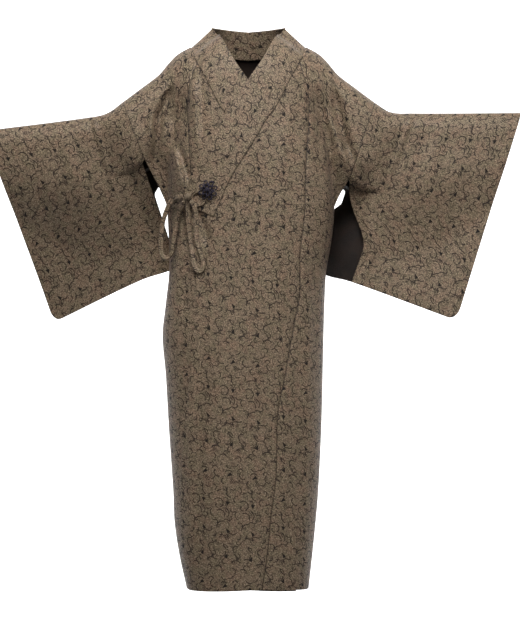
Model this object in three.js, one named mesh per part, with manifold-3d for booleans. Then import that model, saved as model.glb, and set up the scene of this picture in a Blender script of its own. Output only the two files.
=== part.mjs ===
// Long kimono coat, filled out as worn and hollow inside, closed left over right and tied at the
// wearer's right hip. Millimetres, +Z up, the front faces -Y and the wearer's left is +X.
// The origin is on the middle of the shoulder line, where a wearer carries the coat.
import * as THREE from "three";
import { mergeVertices } from "three/addons/utils/BufferGeometryUtils.js";
import Module from "manifold-3d";

const wasm = await Module();
wasm.setup();

// Cloth and clearances
const WALL = 2;
const COLLAR_WALL = 3;
const SEAM_GAP = 0.3;
const LAYER_STEP = 5.5;
const LEFT = 1;
const RIGHT = -1;

// Roundings of the form that the cloth lies on
const CHEST_ROUND = 120;
const ARM_ROUND = 55;
const ARM_DEPTH = 48;
const ARM_BLEND = 20;
const ARM_FADE = 60;

// Where one rounding or arm height passes into the other, as distances from the middle
const UNDERARM_BLEND = 60;
const ROUND_FROM = 100;
const ROUND_TO = 200;

// A fold runs on past its ends by this share, and is full where the body is this deep
const FOLD_RUN = 0.2;
const FOLD_FULL_FROM = 0.25;
const FOLD_FULL_TO = 0.7;
const FOLD_DEEP = 60;

// The fronts part into layers between these heights, over this distance from the middle
const LAYER_HEIGHTS = [-110, -40];
const LAYER_OUT = 150;

// Heights
const HEM = -1247;
const HEM_DIP = 11;
const TIP = -82;
const COLLAR_END = -508;
const TIP_START = 0.12;
const TIP_ROOM = 3;

// The hidden front edge of the under front stays this share of the outer one's way round
const UNDER_EDGE = 0.8;

// Sleeve: its drop, the share of it that is sewn at the cuff's foot, and the rounded corner
const SLEEVE_DROP = 490;
const CUFF_CLOSED = 0.5;
const SLEEVE_CORNER = 0.06;

// The collar lies on the chest below the first height and stands free above the second
const COLLAR_LIES = [-90, -44];
const COLLAR_STAND_Y = -2;
const COLLAR_CLEAR = 0.003;

// How finely each piece is divided, and how its rows or columns crowd towards one end
const UPPER_ROWS = 8;
const NAPE_ROW = 3;
const MIDDLE_ROWS = 5;
const LOWER_ROWS = 20;
const BODY_COLUMNS = 8;
const OKUMI_COLUMNS = 6;
const OKUMI_FRONT_COLUMNS = 2;
const COLLAR_COLUMNS = 3;
const SLEEVE_COLUMNS = 11;
const SLEEVE_ROWS = 9;
const ROW_CROWDING = 1.4;
const FREE_ROW_CROWDING = 0.9;
const COLUMN_CROWDING = 1.1;
const SEARCH_STEPS = 40;

const readTable = (names, rows) =>
  rows.map((row) => Object.fromEntries(names.map((name, i) => [name, row[i]])));

// Level sections of the body; "square" is how boxy a section is, 2 being an ellipse.
const BODY = readTable(
  ["z", "left", "right", "front", "back", "square"],
  [
    [10, -175, 175, 104, 108, 2.2],
    [-100, -176, 176, 111, 112, 2.2],
    [-200, -178, 178, 119, 116, 2.2],
    [-300, -180, 184, 123, 118, 2.3],
    [-400, -182, 193, 120, 119, 2.4],
    [-475, -179, 187, 116, 119, 2.4],
    [-545, -178, 175, 114, 118, 2.4],
    [-620, -186, 171, 113, 118, 2.4],
    [-690, -193, 169, 113, 119, 2.4],
    [-776, -186, 167, 112, 119, 2.4],
    [-895, -179, 164, 110, 116, 2.4],
    [-1040, -169, 157, 106, 110, 2.3],
    [-1110, -166, 151, 103, 107, 2.3],
    [-1188, -154, 143, 99, 103, 2.3],
    [-1260, -138, 135, 95, 99, 2.3],
  ],
);

// Height of the shoulder line over its distance from the middle
const SHOULDER = readTable(
  ["out", "z"],
  [
    [0, 5],
    [80, -15],
    [130, -42],
    [160, -59],
    [180, -79],
    [200, -103],
    [235, -130],
    [282, -165],
    [320, -192],
  ],
);

// Side edge of each body panel: armhole, side opening, then the side seam
const SIDE_EDGE = {
  [LEFT]: readTable(
    ["z", "out"],
    [
      [-165, 284],
      [-253, 254],
      [-342, 224],
      [-372, 206],
      [-400, 193],
    ],
  ),
  [RIGHT]: readTable(
    ["z", "out"],
    [
      [-165, 281],
      [-231, 256],
      [-297, 231],
      [-351, 204],
      [-400, 182],
    ],
  ),
};
const UNDERARM = { [LEFT]: -342, [RIGHT]: -297 };
const SIDE_SEAM_TOP = -400;

// Neckline across the back, where the collar is sewn on
const NECKLINE = readTable(
  ["out", "z"],
  [
    [0, -55],
    [65, -51],
    [110, -46],
    [130, -42],
  ],
);

// Collar seam and free edge down the front
const COLLAR_FRONT = readTable(
  ["seamZ", "seamOut", "freeOut", "freeZ"],
  [
    [-42, 130, 81, 3],
    [-82, 112, 58, -31],
    [-132, 86, 31, -83],
    [-184, 60, -2, -132],
    [-212, 40, -22, -163],
    [-270, 6, -58, -222],
    [-304, -16, -81, -261],
    [-349, -43, -116, -316],
    [-404, -67, -141, -382],
    [-428, -77, -145, -397],
  ],
);

// Collar round the back of the neck: "out" is on the neckline
const COLLAR_BACK = readTable(
  ["out", "freeOut", "freeY", "freeZ"],
  [
    [0, 0, 78, 5],
    [65, 45, 62, 7],
    [110, 72, 34, 7],
    [130, 81, -2, 3],
  ],
);

// Seam between each front and its overlap panel, and the free front edge below the collar
const OVERLAP_SEAM = readTable(
  ["z", "out"],
  [
    [-82, 112],
    [-162, 133],
    [-314, 127],
    [-433, 123],
    [-508, 114],
    [-602, 113],
    [-668, 100],
    [-773, 82],
    [-860, 65],
    [-1001, 61],
    [-1087, 50],
    [-1170, 42],
    [-1250, 30],
  ],
);
const FRONT_EDGE = readTable(
  ["z", "out"],
  [
    [-397, -145],
    [-428, -132],
    [-567, -114],
    [-655, -118],
    [-743, -125],
    [-831, -134],
    [-957, -147],
    [-1055, -152],
    [-1158, -149],
    [-1258, -132],
  ],
);

// Largest folds of the front and back: a straight line down the cloth, how far the cloth stands
// out along it and how wide it is
const FOLDS = readTable(
  ["side", "topX", "topZ", "endX", "endZ", "proud", "width"],
  [
    [-1, -150, -170, -190, -330, -14, 20],
    [-1, -172, -270, -150, -372, 12, 14],
    [-1, -118, -120, -122, -300, 5, 16],
    [-1, 150, -150, 190, -330, -12, 20],
    [-1, 170, -230, 180, -400, 7, 14],
    [-1, -136, -450, -140, -640, -6, 12],
    [-1, -90, -440, -100, -600, -5, 14],
    [-1, 60, -430, 20, -760, 4, 26],
    [-1, 120, -600, 130, -1100, -5, 22],
    [-1, -60, -700, -80, -1150, 4, 30],
    [1, -150, -170, -185, -330, -12, 22],
    [1, 150, -170, 185, -330, -12, 22],
    [1, -60, -420, -80, -900, -5, 26],
    [1, 70, -400, 95, -980, -5, 28],
    [1, 10, -600, -5, -1150, 5, 34],
  ],
);

// Sleeve lines from the fold at the top to the bottom edge: "s" is the share of the sleeve's
// width from the armhole to the cuff, "half" how far the arm holds front and back apart
const SLEEVE_LINES = {
  [LEFT]: readTable(
    ["s", "topOut", "topZ", "endOut", "endZ", "topY", "endY", "half"],
    [
      [0, 284, -165, 163, -546, 0, 86, 50],
      [0.1, 318, -186, 186, -556, 0, 62, 44],
      [0.27, 367, -190, 232, -569, 0, 12, 34],
      [1, 613, -189, 466, -656, 0, -18, 20],
    ],
  ),
  [RIGHT]: readTable(
    ["s", "topOut", "topZ", "endOut", "endZ", "topY", "endY", "half"],
    [
      [0, 281, -165, 163, -533, 0, 92, 50],
      [0.1, 312, -187, 187, -544, 4, 80, 44],
      [0.27, 350, -197, 243, -563, 10, 56, 34],
      [1, 596, -227, 452, -660, 24, 128, 20],
    ],
  ),
};

// Sag of each sleeve between arm and hem, as soft troughs across the drop
const SLEEVE_SAGS = readTable(
  ["s", "t", "proud", "width", "height"],
  [
    [0.3, 0.3, -5, 0.12, 0.16],
    [0.62, 0.36, 6, 0.2, 0.14],
    [0.7, 0.72, -5, 0.22, 0.18],
  ],
);

// Ties: round cords of the coat's cloth, knotted where the collar ends
const TIE_RADIUS = 2.5;
const TIE_SIDES = 8;
const TIE_STEP = 3.6;
const FLOWER_X = -88;
const FLOWER_Z = -372;
const FLOWER_PROUD = 9.2;
const FLOWER_PETALS = 6;
const FLOWER_LOOP = 4.4;
const FLOWER_REACH = 9.5;
const FLOWER_BUTTON = 5.2;
const BOW_X = -132;
const BOW_Z = -386;
const BOW_PROUD = 15.6;
const BOW_ACROSS = 10;
const BOW_DEEP = 6.5;
const ROOT_X = -176;
const ROOT_Z = -397;
const ROOT_PROUD = 8;
const ROOT_ACROSS = 6;
const RING_X = -109;
const RING_Z = -389;
const RING_RADIUS = 15;
const RING_PROUD = 4.2;

// Routes of the two hanging loops, picked by hand
const SIDE_LOOP = readTable(
  ["x", "z", "proud", "y"],
  [
    [-143.3, -385.4, 22.6],
    [-154, -385, 21],
    [-166, -390, undefined, -84],
    [-175, -401, undefined, -80],
    [-181, -415, undefined, -76],
    [-187, -433, undefined, -72],
    [-191, -453, undefined, -68],
    [-193, -478, undefined, -65],
    [-193, -502, undefined, -63],
    [-188, -515, undefined, -63],
    [-180, -517, undefined, -65],
    [-170, -508, undefined, -69],
    [-165, -482, undefined, -74],
    [-160, -452, undefined, -79],
    [-154, -424, undefined, -88],
    [-139.4, -394.6, 18],
  ],
);
const FRONT_LOOP = readTable(
  ["x", "z", "proud"],
  [
    [-132, -395.2, 13.5],
    [-132, -410, 7],
    [-131, -428, 5],
    [-130, -450, 4],
    [-126, -485, 4],
    [-122, -511, 4],
    [-118, -534, 4.5],
    [-111, -547, 5],
    [-102, -546, 5],
    [-98, -535, 4.5],
    [-101, -520, 4.2],
    [-107, -498, 4],
    [-112, -482, 4],
    [-114, -443, 4],
    [-115, -415, 6],
    [-125.4, -393.4, 13.4],
  ],
);
const SIDE_TIE = readTable(
  ["x", "z", "proud", "y"],
  [
    [-172.6, -397, undefined, -59.4],
    [-163, -396, 8],
    [-150, -393, 10],
    [-140.4, -390, 17.5],
  ],
);

const lerp = THREE.MathUtils.lerp;
const clamp = THREE.MathUtils.clamp;
const between = (low, high, value) => THREE.MathUtils.smoothstep(value, low, high);

// A smooth curve through one column of a table, held at the table's ends
function along(table, key, at, column) {
  const rising = table[0][key] < table[table.length - 1][key];
  const last = table.length - 1;
  let i = 0;
  while (i < last - 1 && (rising ? at > table[i + 1][key] : at < table[i + 1][key])) i++;
  const slope = (j) => {
    const before = table[Math.max(j - 1, 0)];
    const after = table[Math.min(j + 1, last)];
    return (after[column] - before[column]) / (after[key] - before[key]);
  };
  const step = table[i + 1][key] - table[i][key];
  const t = clamp((at - table[i][key]) / step, 0, 1);
  const bend = t * t * (3 - 2 * t);
  return (
    lerp(table[i][column], table[i + 1][column], bend) +
    step * (t * (1 - t) * (1 - t) * slope(i) - t * t * (1 - t) * slope(i + 1))
  );
}

function foldsAt(x, z, facing) {
  let sum = 0;
  for (const fold of FOLDS) {
    if (fold.side !== facing) continue;
    const t = clamp((fold.topZ - z) / (fold.topZ - fold.endZ), -FOLD_RUN, 1 + FOLD_RUN);
    const off = (x - lerp(fold.topX, fold.endX, t)) / fold.width;
    const starts = between(-FOLD_RUN, FOLD_FULL_FROM, t);
    const fade = starts * (1 - between(FOLD_FULL_TO, 1 + FOLD_RUN, t));
    sum += fold.proud * fade * Math.exp(-off * off);
  }
  return sum;
}

// How far the cloth stands from the plane of the shoulder line: facing is -1 in front, 1 behind
function depthAt(x, z, facing) {
  const left = along(BODY, "z", z, "left");
  const right = along(BODY, "z", z, "right");
  const square = along(BODY, "z", z, "square");
  const reach = along(BODY, "z", z, facing < 0 ? "front" : "back");
  const off = Math.abs((2 * x - left - right) / (right - left));
  const shape = off < 1 ? (1 - off ** square) ** (1 / square) : 0;
  const chest = reach * shape;
  const underarm = lerp(UNDERARM[RIGHT], UNDERARM[LEFT], between(-UNDERARM_BLEND, UNDERARM_BLEND, x));
  const arm = between(SIDE_SEAM_TOP, underarm + ARM_FADE, z);
  const body = (chest + ARM_DEPTH * arm + Math.hypot(chest - ARM_DEPTH * arm, ARM_BLEND * arm)) / 2;
  const drop = along(SHOULDER, "out", Math.abs(x), "z") - z;
  const round = lerp(CHEST_ROUND, ARM_ROUND, between(ROUND_FROM, ROUND_TO, Math.abs(x)));
  const rest = 1 - clamp(drop / round, 0, 1);
  const ridge = Math.sqrt(1 - rest * rest);
  const folds = foldsAt(x, z, facing) * ridge * Math.min(1, body / FOLD_DEEP);
  return Math.max(body * ridge + folds, SEAM_GAP / 2);
}

// The outer front lies over the under front by one step where they overlap
function layerLift(x, z, side) {
  const front = 1 - between(...LAYER_HEIGHTS, z);
  const over = LAYER_STEP * between(-LAYER_OUT, LAYER_OUT, -x);
  return front * (side === LEFT ? over : over - LAYER_STEP);
}

// A point of the cloth's outer face with its outward normal
function skin(side, x, z, facing) {
  const eps = 0.2;
  const slopeX = (depthAt(x + eps, z, facing) - depthAt(x - eps, z, facing)) / (2 * eps);
  const slopeZ = (depthAt(x, z + eps, facing) - depthAt(x, z - eps, facing)) / (2 * eps);
  const ridge = along(SHOULDER, "out", Math.abs(x), "z") - z < 0.01;
  const lift = facing < 0 ? layerLift(x, z, side) : 0;
  const depth = ridge ? 0 : depthAt(x, z, facing) + lift;
  const normal = new THREE.Vector3(-slopeX, ridge ? 0 : facing, -slopeZ).normalize();
  return { point: new THREE.Vector3(x, facing * depth, z), normal };
}

// Rows of a body panel from the shoulder down to the hem; one row meets the middle of the nape
function bodyRows(side) {
  const rows = [];
  const [shoulder, nape] = [SHOULDER[0].z, NECKLINE[0].z];
  const napeShare = (shoulder - nape) / (shoulder - UNDERARM[side]);
  for (let j = 0; j <= UPPER_ROWS; j++) {
    const below = Math.max(j - NAPE_ROW, 0) / (UPPER_ROWS - NAPE_ROW);
    const above = Math.min(j / NAPE_ROW, 1);
    rows.push({ share: lerp(napeShare * above ** 2, 1, below ** ROW_CROWDING) });
  }
  for (let j = 1; j <= MIDDLE_ROWS; j++) rows.push({ middle: j / MIDDLE_ROWS });
  for (let j = 1; j <= LOWER_ROWS; j++) rows.push({ lower: j / LOWER_ROWS });
  return rows;
}

function rowHeight(side, row, out) {
  if (row.share !== undefined)
    return lerp(along(SHOULDER, "out", Math.abs(out), "z"), UNDERARM[side], row.share);
  if (row.middle !== undefined) return lerp(UNDERARM[side], COLLAR_END, row.middle);
  const dip = HEM_DIP * row.lower * clamp(out / LAYER_OUT, -1, 1) ** 2;
  return lerp(COLLAR_END, HEM, row.lower) - dip;
}

// Where a row meets an edge that is given as a distance from the middle over height
function meet(side, row, edge) {
  let low = 0;
  let high = 300;
  for (let i = 0; i < SEARCH_STEPS; i++) {
    const out = (low + high) / 2;
    if (edge(rowHeight(side, row, out)) > out) low = out;
    else high = out;
  }
  return (low + high) / 2;
}

function sideEdge(side, row) {
  return meet(side, row, (z) => {
    if (z > SIDE_SEAM_TOP) return along(SIDE_EDGE[side], "z", z, "out");
    return side * along(BODY, "z", z, side === LEFT ? "right" : "left");
  });
}

function frontInner(side, row) {
  return meet(side, row, (z) =>
    z > TIP ? along(COLLAR_FRONT, "seamZ", z, "seamOut") : along(OVERLAP_SEAM, "z", z, "out"),
  );
}

function backInner(side, row) {
  const height = (out) => along(NECKLINE, "out", out, "z");
  if (rowHeight(side, row, 0) < height(0)) return 0;
  let low = 0;
  let high = NECKLINE[NECKLINE.length - 1].out;
  for (let i = 0; i < SEARCH_STEPS; i++) {
    const out = (low + high) / 2;
    if (rowHeight(side, row, out) > height(out)) low = out;
    else high = out;
  }
  return (low + high) / 2;
}

// Points spread from one place to another so that they stay even round the body's sides
function spread(side, from, to, z, steps) {
  const middle = (along(BODY, "z", z, "left") + along(BODY, "z", z, "right")) / 2;
  const half = Math.max(Math.abs(side * from - middle), Math.abs(side * to - middle), 1);
  const angle = (out) => Math.asin(clamp((side * out - middle) / half, -1, 1));
  return steps.map((t) => middle + half * Math.sin(lerp(angle(from), angle(to), t)));
}

const evenly = (count) => Array.from({ length: count + 1 }, (_, i) => i / count);

// A closed wall from a grid of outer points with normals; cells that "has" refuses stay open
function wall(grid, thickness, has = () => true) {
  const rows = grid.length;
  const columns = grid[0].length;
  const positions = [];
  for (const inner of [false, true])
    for (const row of grid)
      for (const { point, normal } of row) {
        const p = point.clone().addScaledVector(normal, inner ? -thickness : 0);
        positions.push(p.x, p.y, p.z);
      }
  const id = (i, j, inner) => (inner ? rows * columns : 0) + i * columns + j;
  const cell = (i, j) => i >= 0 && j >= 0 && i < rows - 1 && j < columns - 1 && has(i, j);
  const index = [];
  const face = (a, b, c, d) => index.push(a, b, c, a, c, d);
  for (let i = 0; i < rows - 1; i++)
    for (let j = 0; j < columns - 1; j++) {
      if (!cell(i, j)) continue;
      face(id(i, j), id(i + 1, j), id(i + 1, j + 1), id(i, j + 1));
      face(id(i, j, 1), id(i, j + 1, 1), id(i + 1, j + 1, 1), id(i + 1, j, 1));
      const rim = (a, b) => face(id(...b), id(...a), id(...a, 1), id(...b, 1));
      if (!cell(i, j - 1)) rim([i, j], [i + 1, j]);
      if (!cell(i + 1, j)) rim([i + 1, j], [i + 1, j + 1]);
      if (!cell(i, j + 1)) rim([i + 1, j + 1], [i, j + 1]);
      if (!cell(i - 1, j)) rim([i, j + 1], [i, j]);
    }
  const geometry = new THREE.BufferGeometry();
  geometry.setAttribute("position", new THREE.Float32BufferAttribute(positions, 3));
  geometry.setIndex(index);
  return outward(geometry);
}

// Unused points are dropped and the faces are turned so that the volume is positive
function outward(geometry) {
  const flat = geometry.index ? geometry.toNonIndexed() : geometry.clone();
  flat.deleteAttribute("normal");
  flat.deleteAttribute("uv");
  const merged = mergeVertices(flat, 1e-3);
  const p = merged.attributes.position;
  const index = Array.from(merged.index.array);
  const corner = (i) => new THREE.Vector3().fromBufferAttribute(p, index[i]);
  let volume = 0;
  for (let i = 0; i < index.length; i += 3)
    volume += corner(i).dot(corner(i + 1).cross(corner(i + 2)));
  if (volume < 0) index.reverse();
  merged.setIndex(index);
  merged.computeVertexNormals();
  return merged;
}

// One length of cloth from the front hem over the shoulder to the back hem
function bodyPanel(side) {
  const rows = bodyRows(side);
  const steps = evenly(BODY_COLUMNS);
  const line = (row, facing) => {
    const inner =
      facing < 0 ? frontInner(side, row) + SEAM_GAP / 2 : backInner(side, row) + SEAM_GAP;
    const seam = row.share === undefined ? 0 : SEAM_GAP / 2;
    const outer = sideEdge(side, row) - seam;
    const z = rowHeight(side, row, (inner + outer) / 2);
    return spread(side, inner, outer, z, steps).map((x) =>
      skin(side, x, rowHeight(side, row, Math.abs(x)), facing),
    );
  };
  const front = rows.map((row) => line(row, -1)).reverse();
  const back = rows.slice(1).map((row) => line(row, 1));
  return wall([...front, ...back], WALL);
}

// Rows of the overlap panel: each runs from its seam with the front, slanting up to the collar
function overlapRows(side) {
  const seams = bodyRows(side).map((row) => {
    const out = frontInner(side, row);
    return { row, out, z: rowHeight(side, row, out) };
  });
  const upper = seams.filter((seam) => seam.z < TIP - TIP_ROOM && seam.row.lower === undefined);
  const tip = seams.filter((seam) => seam.z >= TIP - TIP_ROOM).pop();
  const collar = (z) => along(COLLAR_FRONT, "seamZ", z, "seamOut");
  const endZ = COLLAR_FRONT[COLLAR_FRONT.length - 1].seamZ;
  const sewn = upper.map((seam) => {
    const z = lerp(TIP, endZ, (TIP - seam.z) / (TIP - COLLAR_END));
    return { seam, out: collar(z), z };
  });
  const corner = FRONT_EDGE[0];
  const free = seams
    .filter((seam) => seam.row.lower !== undefined)
    .map((seam) => {
      const bottom = rowHeight(side, seam.row, FRONT_EDGE[FRONT_EDGE.length - 1].out);
      const z = lerp(corner.z, bottom, between(0, 1, seam.row.lower) ** FREE_ROW_CROWDING);
      const reach = side === LEFT ? 1 : lerp(1, UNDER_EDGE, between(0, 0.2, seam.row.lower));
      return { seam, out: reach * along(FRONT_EDGE, "z", z, "out"), z };
    });
  return { tip, sewn, free };
}

function overlapPanel(side) {
  const { tip, sewn, free } = overlapRows(side);
  const corner = FRONT_EDGE[0];
  const end = sewn[sewn.length - 1];
  const step = (end.out - corner.out) / (end.seam.out - corner.out);
  const tail = evenly(OKUMI_COLUMNS);
  const head = evenly(OKUMI_FRONT_COLUMNS).slice(0, -1);
  const place = (from, to, t, proudZ = 0) => {
    const mid = (from.z + to.z) / 2;
    const [x] = spread(side, from.out, to.out, mid, [t]);
    const share = (side * x - from.out) / (to.out - from.out);
    return skin(side, x, lerp(from.z, to.z, share) + proudZ, -1);
  };
  const inset = (at, by) => ({ ...at, out: at.out + by });
  const grid = sewn.map((row, i) => {
    const from = inset(row, SEAM_GAP / 2);
    const to = inset(row.seam, -SEAM_GAP / 2);
    const last = i === sewn.length - 1;
    const edge = { out: corner.out, z: corner.z };
    return [
      ...head.map((t) =>
        last ? place(edge, row, t, -SEAM_GAP) : place(from, to, 0),
      ),
      ...tail.map((t) => place(from, to, t)),
    ];
  });
  for (const row of free) {
    const to = inset(row.seam, -SEAM_GAP / 2);
    const steps = [...head.map((t) => t * step), ...tail.map((t) => lerp(step, 1, t))];
    grid.push(steps.map((t) => place(row, to, t)));
  }
  // The point at the top starts as a narrow row between the collar and the front
  const start = skin(side, side * tip.out, tip.z, -1);
  grid.unshift(
    grid[0].map(({ point, normal }) => ({
      point: start.point.clone().lerp(point, TIP_START),
      normal: start.normal.clone().lerp(normal, TIP_START).normalize(),
    })),
  );
  const open = (i, j) => i < sewn.length && j < OKUMI_FRONT_COLUMNS;
  return wall(grid, WALL, (i, j) => !open(i, j));
}

// The collar from the middle of the nape down to its end on the overlap panel
function collar(side) {
  const seams = [];
  for (const row of bodyRows(side).filter((each) => each.share !== undefined).reverse()) {
    const out = backInner(side, row);
    if (out > 0.01) seams.push({ out, z: rowHeight(side, row, out), facing: 1 });
  }
  seams.unshift({ out: SEAM_GAP / 2, z: NECKLINE[0].z, facing: 1 });
  seams.pop();
  for (const row of bodyRows(side)) {
    const out = frontInner(side, row);
    const z = rowHeight(side, row, out);
    if (z > TIP - TIP_ROOM && row.share !== undefined) seams.push({ out, z, facing: -1 });
  }
  for (const row of overlapRows(side).sewn) seams.push({ out: row.out, z: row.z, facing: -1 });
  const steps = evenly(COLLAR_COLUMNS);
  const grid = seams.map((seam, i) => {
    const last = i === seams.length - 1;
    const base = skin(side, side * seam.out, seam.z, seam.facing);
    const isBack = seam.facing > 0;
    const column = (name) =>
      isBack
        ? along(COLLAR_BACK, "out", seam.out, name)
        : along(COLLAR_FRONT, "seamZ", seam.z, name);
    const out = column("freeOut");
    const z = column("freeZ");
    const laid = skin(side, side * out, z, -1);
    const lies = isBack ? 0 : 1 - between(...COLLAR_LIES, seam.z);
    const y = isBack ? column("freeY") : lerp(COLLAR_STAND_Y, laid.point.y, lies);
    const free = new THREE.Vector3(side * out, y, z);
    return steps.map((t) => {
      const c = lerp(COLLAR_CLEAR, 1, t);
      const x = lerp(side * seam.out, side * out, c);
      const height = lerp(seam.z, z, c) + (last ? SEAM_GAP : 0);
      const standing = base.point.clone().lerp(free, c);
      const lying = skin(side, x, height, -1);
      const point = new THREE.Vector3(x, lerp(standing.y, lying.point.y, lies), height);
      return { point, normal: lying.normal.clone(), lies };
    });
  });
  // Where the collar stands by itself its normal comes from its own surface
  grid.forEach((line, i) =>
    line.forEach((at, j) => {
      const before = grid[Math.max(i - 1, 0)][j].point;
      const after = grid[Math.min(i + 1, grid.length - 1)][j].point;
      const lengthways = after.clone().sub(before);
      const across = line[line.length - 1].point.clone().sub(line[0].point);
      const own = lengthways.cross(across).multiplyScalar(side).normalize();
      at.normal = own.lerp(at.normal, at.lies).normalize();
      if (i === 0) at.normal.setX(0).normalize();
    }),
  );
  for (const line of grid)
    for (const at of line) at.point.addScaledVector(at.normal, (COLLAR_WALL - WALL) / 2);
  return wall(grid, COLLAR_WALL);
}

// A sleeve is one sheet, folded along its top, with its bottom and lower cuff edges sewn
function sleeve(side) {
  const lines = SLEEVE_LINES[side];
  const armhole = bodyRows(side).filter((row) => row.share !== undefined);
  const top = lines[0];
  const length = Math.hypot(top.endOut - top.topOut, top.endZ - top.topZ);
  const sewn = armhole.map((row) => {
    const out = sideEdge(side, row);
    const z = rowHeight(side, row, out);
    return { out, z, t: Math.hypot(out - top.topOut, z - top.topZ) / length };
  });
  sewn[0].t = 0;
  const end = sewn[sewn.length - 1];
  const drops = sewn.map(({ t }) => t);
  for (let i = 1; i <= SLEEVE_ROWS; i++) drops.push(lerp(end.t, 1, i / SLEEVE_ROWS));
  const widths = evenly(SLEEVE_COLUMNS).map((s) => s ** COLUMN_CROWDING);

  // How far front and back stand from the sleeve's middle
  const halfAt = (s, t) => {
    const rest = 1 - clamp((t * SLEEVE_DROP) / ARM_ROUND, 0, 1);
    const closed = lerp(0.95, CUFF_CLOSED, s ** 3);
    const taper = 1 - between(0.22, closed, t);
    const free = along(lines, "s", s, "half") * Math.sqrt(1 - rest * rest) * taper;
    return Math.max(free, t > 0 ? WALL + SEAM_GAP / 2 : 0);
  };
  const surface = (s, t, facing) => {
    let [u, v] = [s, t];
    const a = (s - 1 + SLEEVE_CORNER) / SLEEVE_CORNER;
    const b = (t - 1 + SLEEVE_CORNER) / SLEEVE_CORNER;
    if (a > 0 && b > 0) {
      const round = Math.max(a, b) / Math.hypot(a, b);
      u = 1 - SLEEVE_CORNER * (1 - a * round);
      v = 1 - SLEEVE_CORNER * (1 - b * round);
    }
    const at = (name) => along(lines, "s", u, name);
    const out = lerp(at("topOut"), at("endOut"), v);
    const z = lerp(at("topZ"), at("endZ"), v);
    let y = lerp(at("topY"), at("endY"), between(0.1, 1, v) * 0.6 + v * 0.4);
    for (const sag of SLEEVE_SAGS) {
      const fade = between(0, 0.15, u) * between(0, 0.1, 1 - v) * between(0, 0.12, v);
      const spot = ((u - sag.s) / sag.width) ** 2 + ((v - sag.t) / sag.height) ** 2;
      y -= sag.proud * fade * Math.exp(-spot);
    }
    return new THREE.Vector3(side * out, y + facing * halfAt(u, v), z);
  };
  const normalAt = (s, t, facing) => {
    const eps = 1e-3;
    const [s0, s1] = [Math.max(s - eps, 0), Math.min(s + eps, 1)];
    const [t0, t1] = [Math.max(t - eps, 0), Math.min(t + eps, 1)];
    const across = surface(s1, t, facing).sub(surface(s0, t, facing));
    const down = surface(s, t1, facing).sub(surface(s, t0, facing));
    return across.cross(down).multiplyScalar(facing * side).normalize();
  };
  const place = (s, j, facing) => {
    const t = drops[j];
    const point = surface(s, t, facing);
    const normal = normalAt(s, t, facing);
    if (t === 0) normal.setY(0).normalize();
    if (j < sewn.length) {
      const x = side * (sewn[j].out + SEAM_GAP / 2);
      const joined = skin(side, side * sewn[j].out, sewn[j].z, facing);
      const own = surface(0, t, facing);
      const shift = new THREE.Vector3(x, joined.point.y, sewn[j].z).sub(own);
      point.addScaledVector(shift, 1 - between(0, 0.3, s));
      if (s === 0) normal.copy(joined.normal);
    }
    return { point, normal };
  };
  const line = (j, facing) => widths.map((s) => place(s, j, facing));
  const front = drops.map((_, j) => line(j, -1)).reverse();
  const back = drops.slice(1).map((_, j) => line(j + 1, 1));
  return wall([...front, ...back], WALL);
}

// A point that stands off the outer cloth, measured towards the front
function onFront(x, z, proud) {
  const { point } = skin(LEFT, x, z, -1);
  return point.setY(point.y - proud);
}

// A round tie of folded cloth along a route; "y" is given only where it hangs clear of the front
function tie(route) {
  const points = route.map(({ x, z, proud, y }) =>
    y === undefined ? onFront(x, z, proud) : new THREE.Vector3(x, y, z),
  );
  const curve = new THREE.CatmullRomCurve3(points, false, "centripetal");
  const section = new THREE.Shape();
  section.absarc(0, 0, TIE_RADIUS, 0, 2 * Math.PI);
  const steps = Math.round(curve.getLength() / (TIE_STEP * TIE_RADIUS));
  const options = { steps, curveSegments: TIE_SIDES, bevelEnabled: false, extrudePath: curve };
  return outward(new THREE.ExtrudeGeometry(section, options));
}

function knot(x, z, proud, across, deep) {
  const geometry = new THREE.SphereGeometry(1, 16, 10);
  const place = onFront(x, z, proud);
  geometry.rotateZ(0.6).scale(across, deep, across * 0.85).translate(...place.toArray());
  return outward(geometry);
}

// Joins closed geometries into one solid
function fuse(geometries) {
  const solids = geometries.map((geometry) => {
    const merged = outward(geometry);
    return new wasm.Manifold(
      new wasm.Mesh({
        numProp: 3,
        vertProperties: new Float32Array(merged.attributes.position.array),
        triVerts: new Uint32Array(merged.index.array),
      }),
    );
  });
  const mesh = solids.reduce((sum, solid) => sum.add(solid)).getMesh();
  const geometry = new THREE.BufferGeometry();
  geometry.setAttribute("position", new THREE.BufferAttribute(mesh.vertProperties, 3));
  geometry.setIndex(Array.from(mesh.triVerts));
  return outward(geometry);
}

// The ornamental knot at the end of the outer collar: looped petals round a button of cord
function flower() {
  const petals = Array.from({ length: FLOWER_PETALS }, (_, i) => {
    const angle = (2 * Math.PI * i) / FLOWER_PETALS;
    return new THREE.TorusGeometry(FLOWER_LOOP, TIE_RADIUS * 0.9, 7, 12)
      .scale(1.15, 0.85, 1)
      .translate(FLOWER_REACH, 0, 0)
      .rotateZ(angle);
  });
  const button = new THREE.SphereGeometry(FLOWER_BUTTON, 12, 8);
  const centre = onFront(FLOWER_X, FLOWER_Z, FLOWER_PROUD);
  const { normal } = skin(LEFT, FLOWER_X, FLOWER_Z, -1);
  const turn = new THREE.Quaternion().setFromUnitVectors(new THREE.Vector3(0, 0, 1), normal);
  return fuse([button, ...petals]).applyQuaternion(turn).translate(...centre.toArray());
}

const cloth = new THREE.MeshStandardMaterial({ color: 0x6e6050, roughness: 0.75, metalness: 0 });
const dark = new THREE.MeshStandardMaterial({ color: 0x1c1620, roughness: 0.6, metalness: 0 });
const coat = new THREE.Group();
function add(name, geometry, material = cloth) {
  const mesh = new THREE.Mesh(geometry, material);
  mesh.name = name;
  coat.add(mesh);
}

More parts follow.
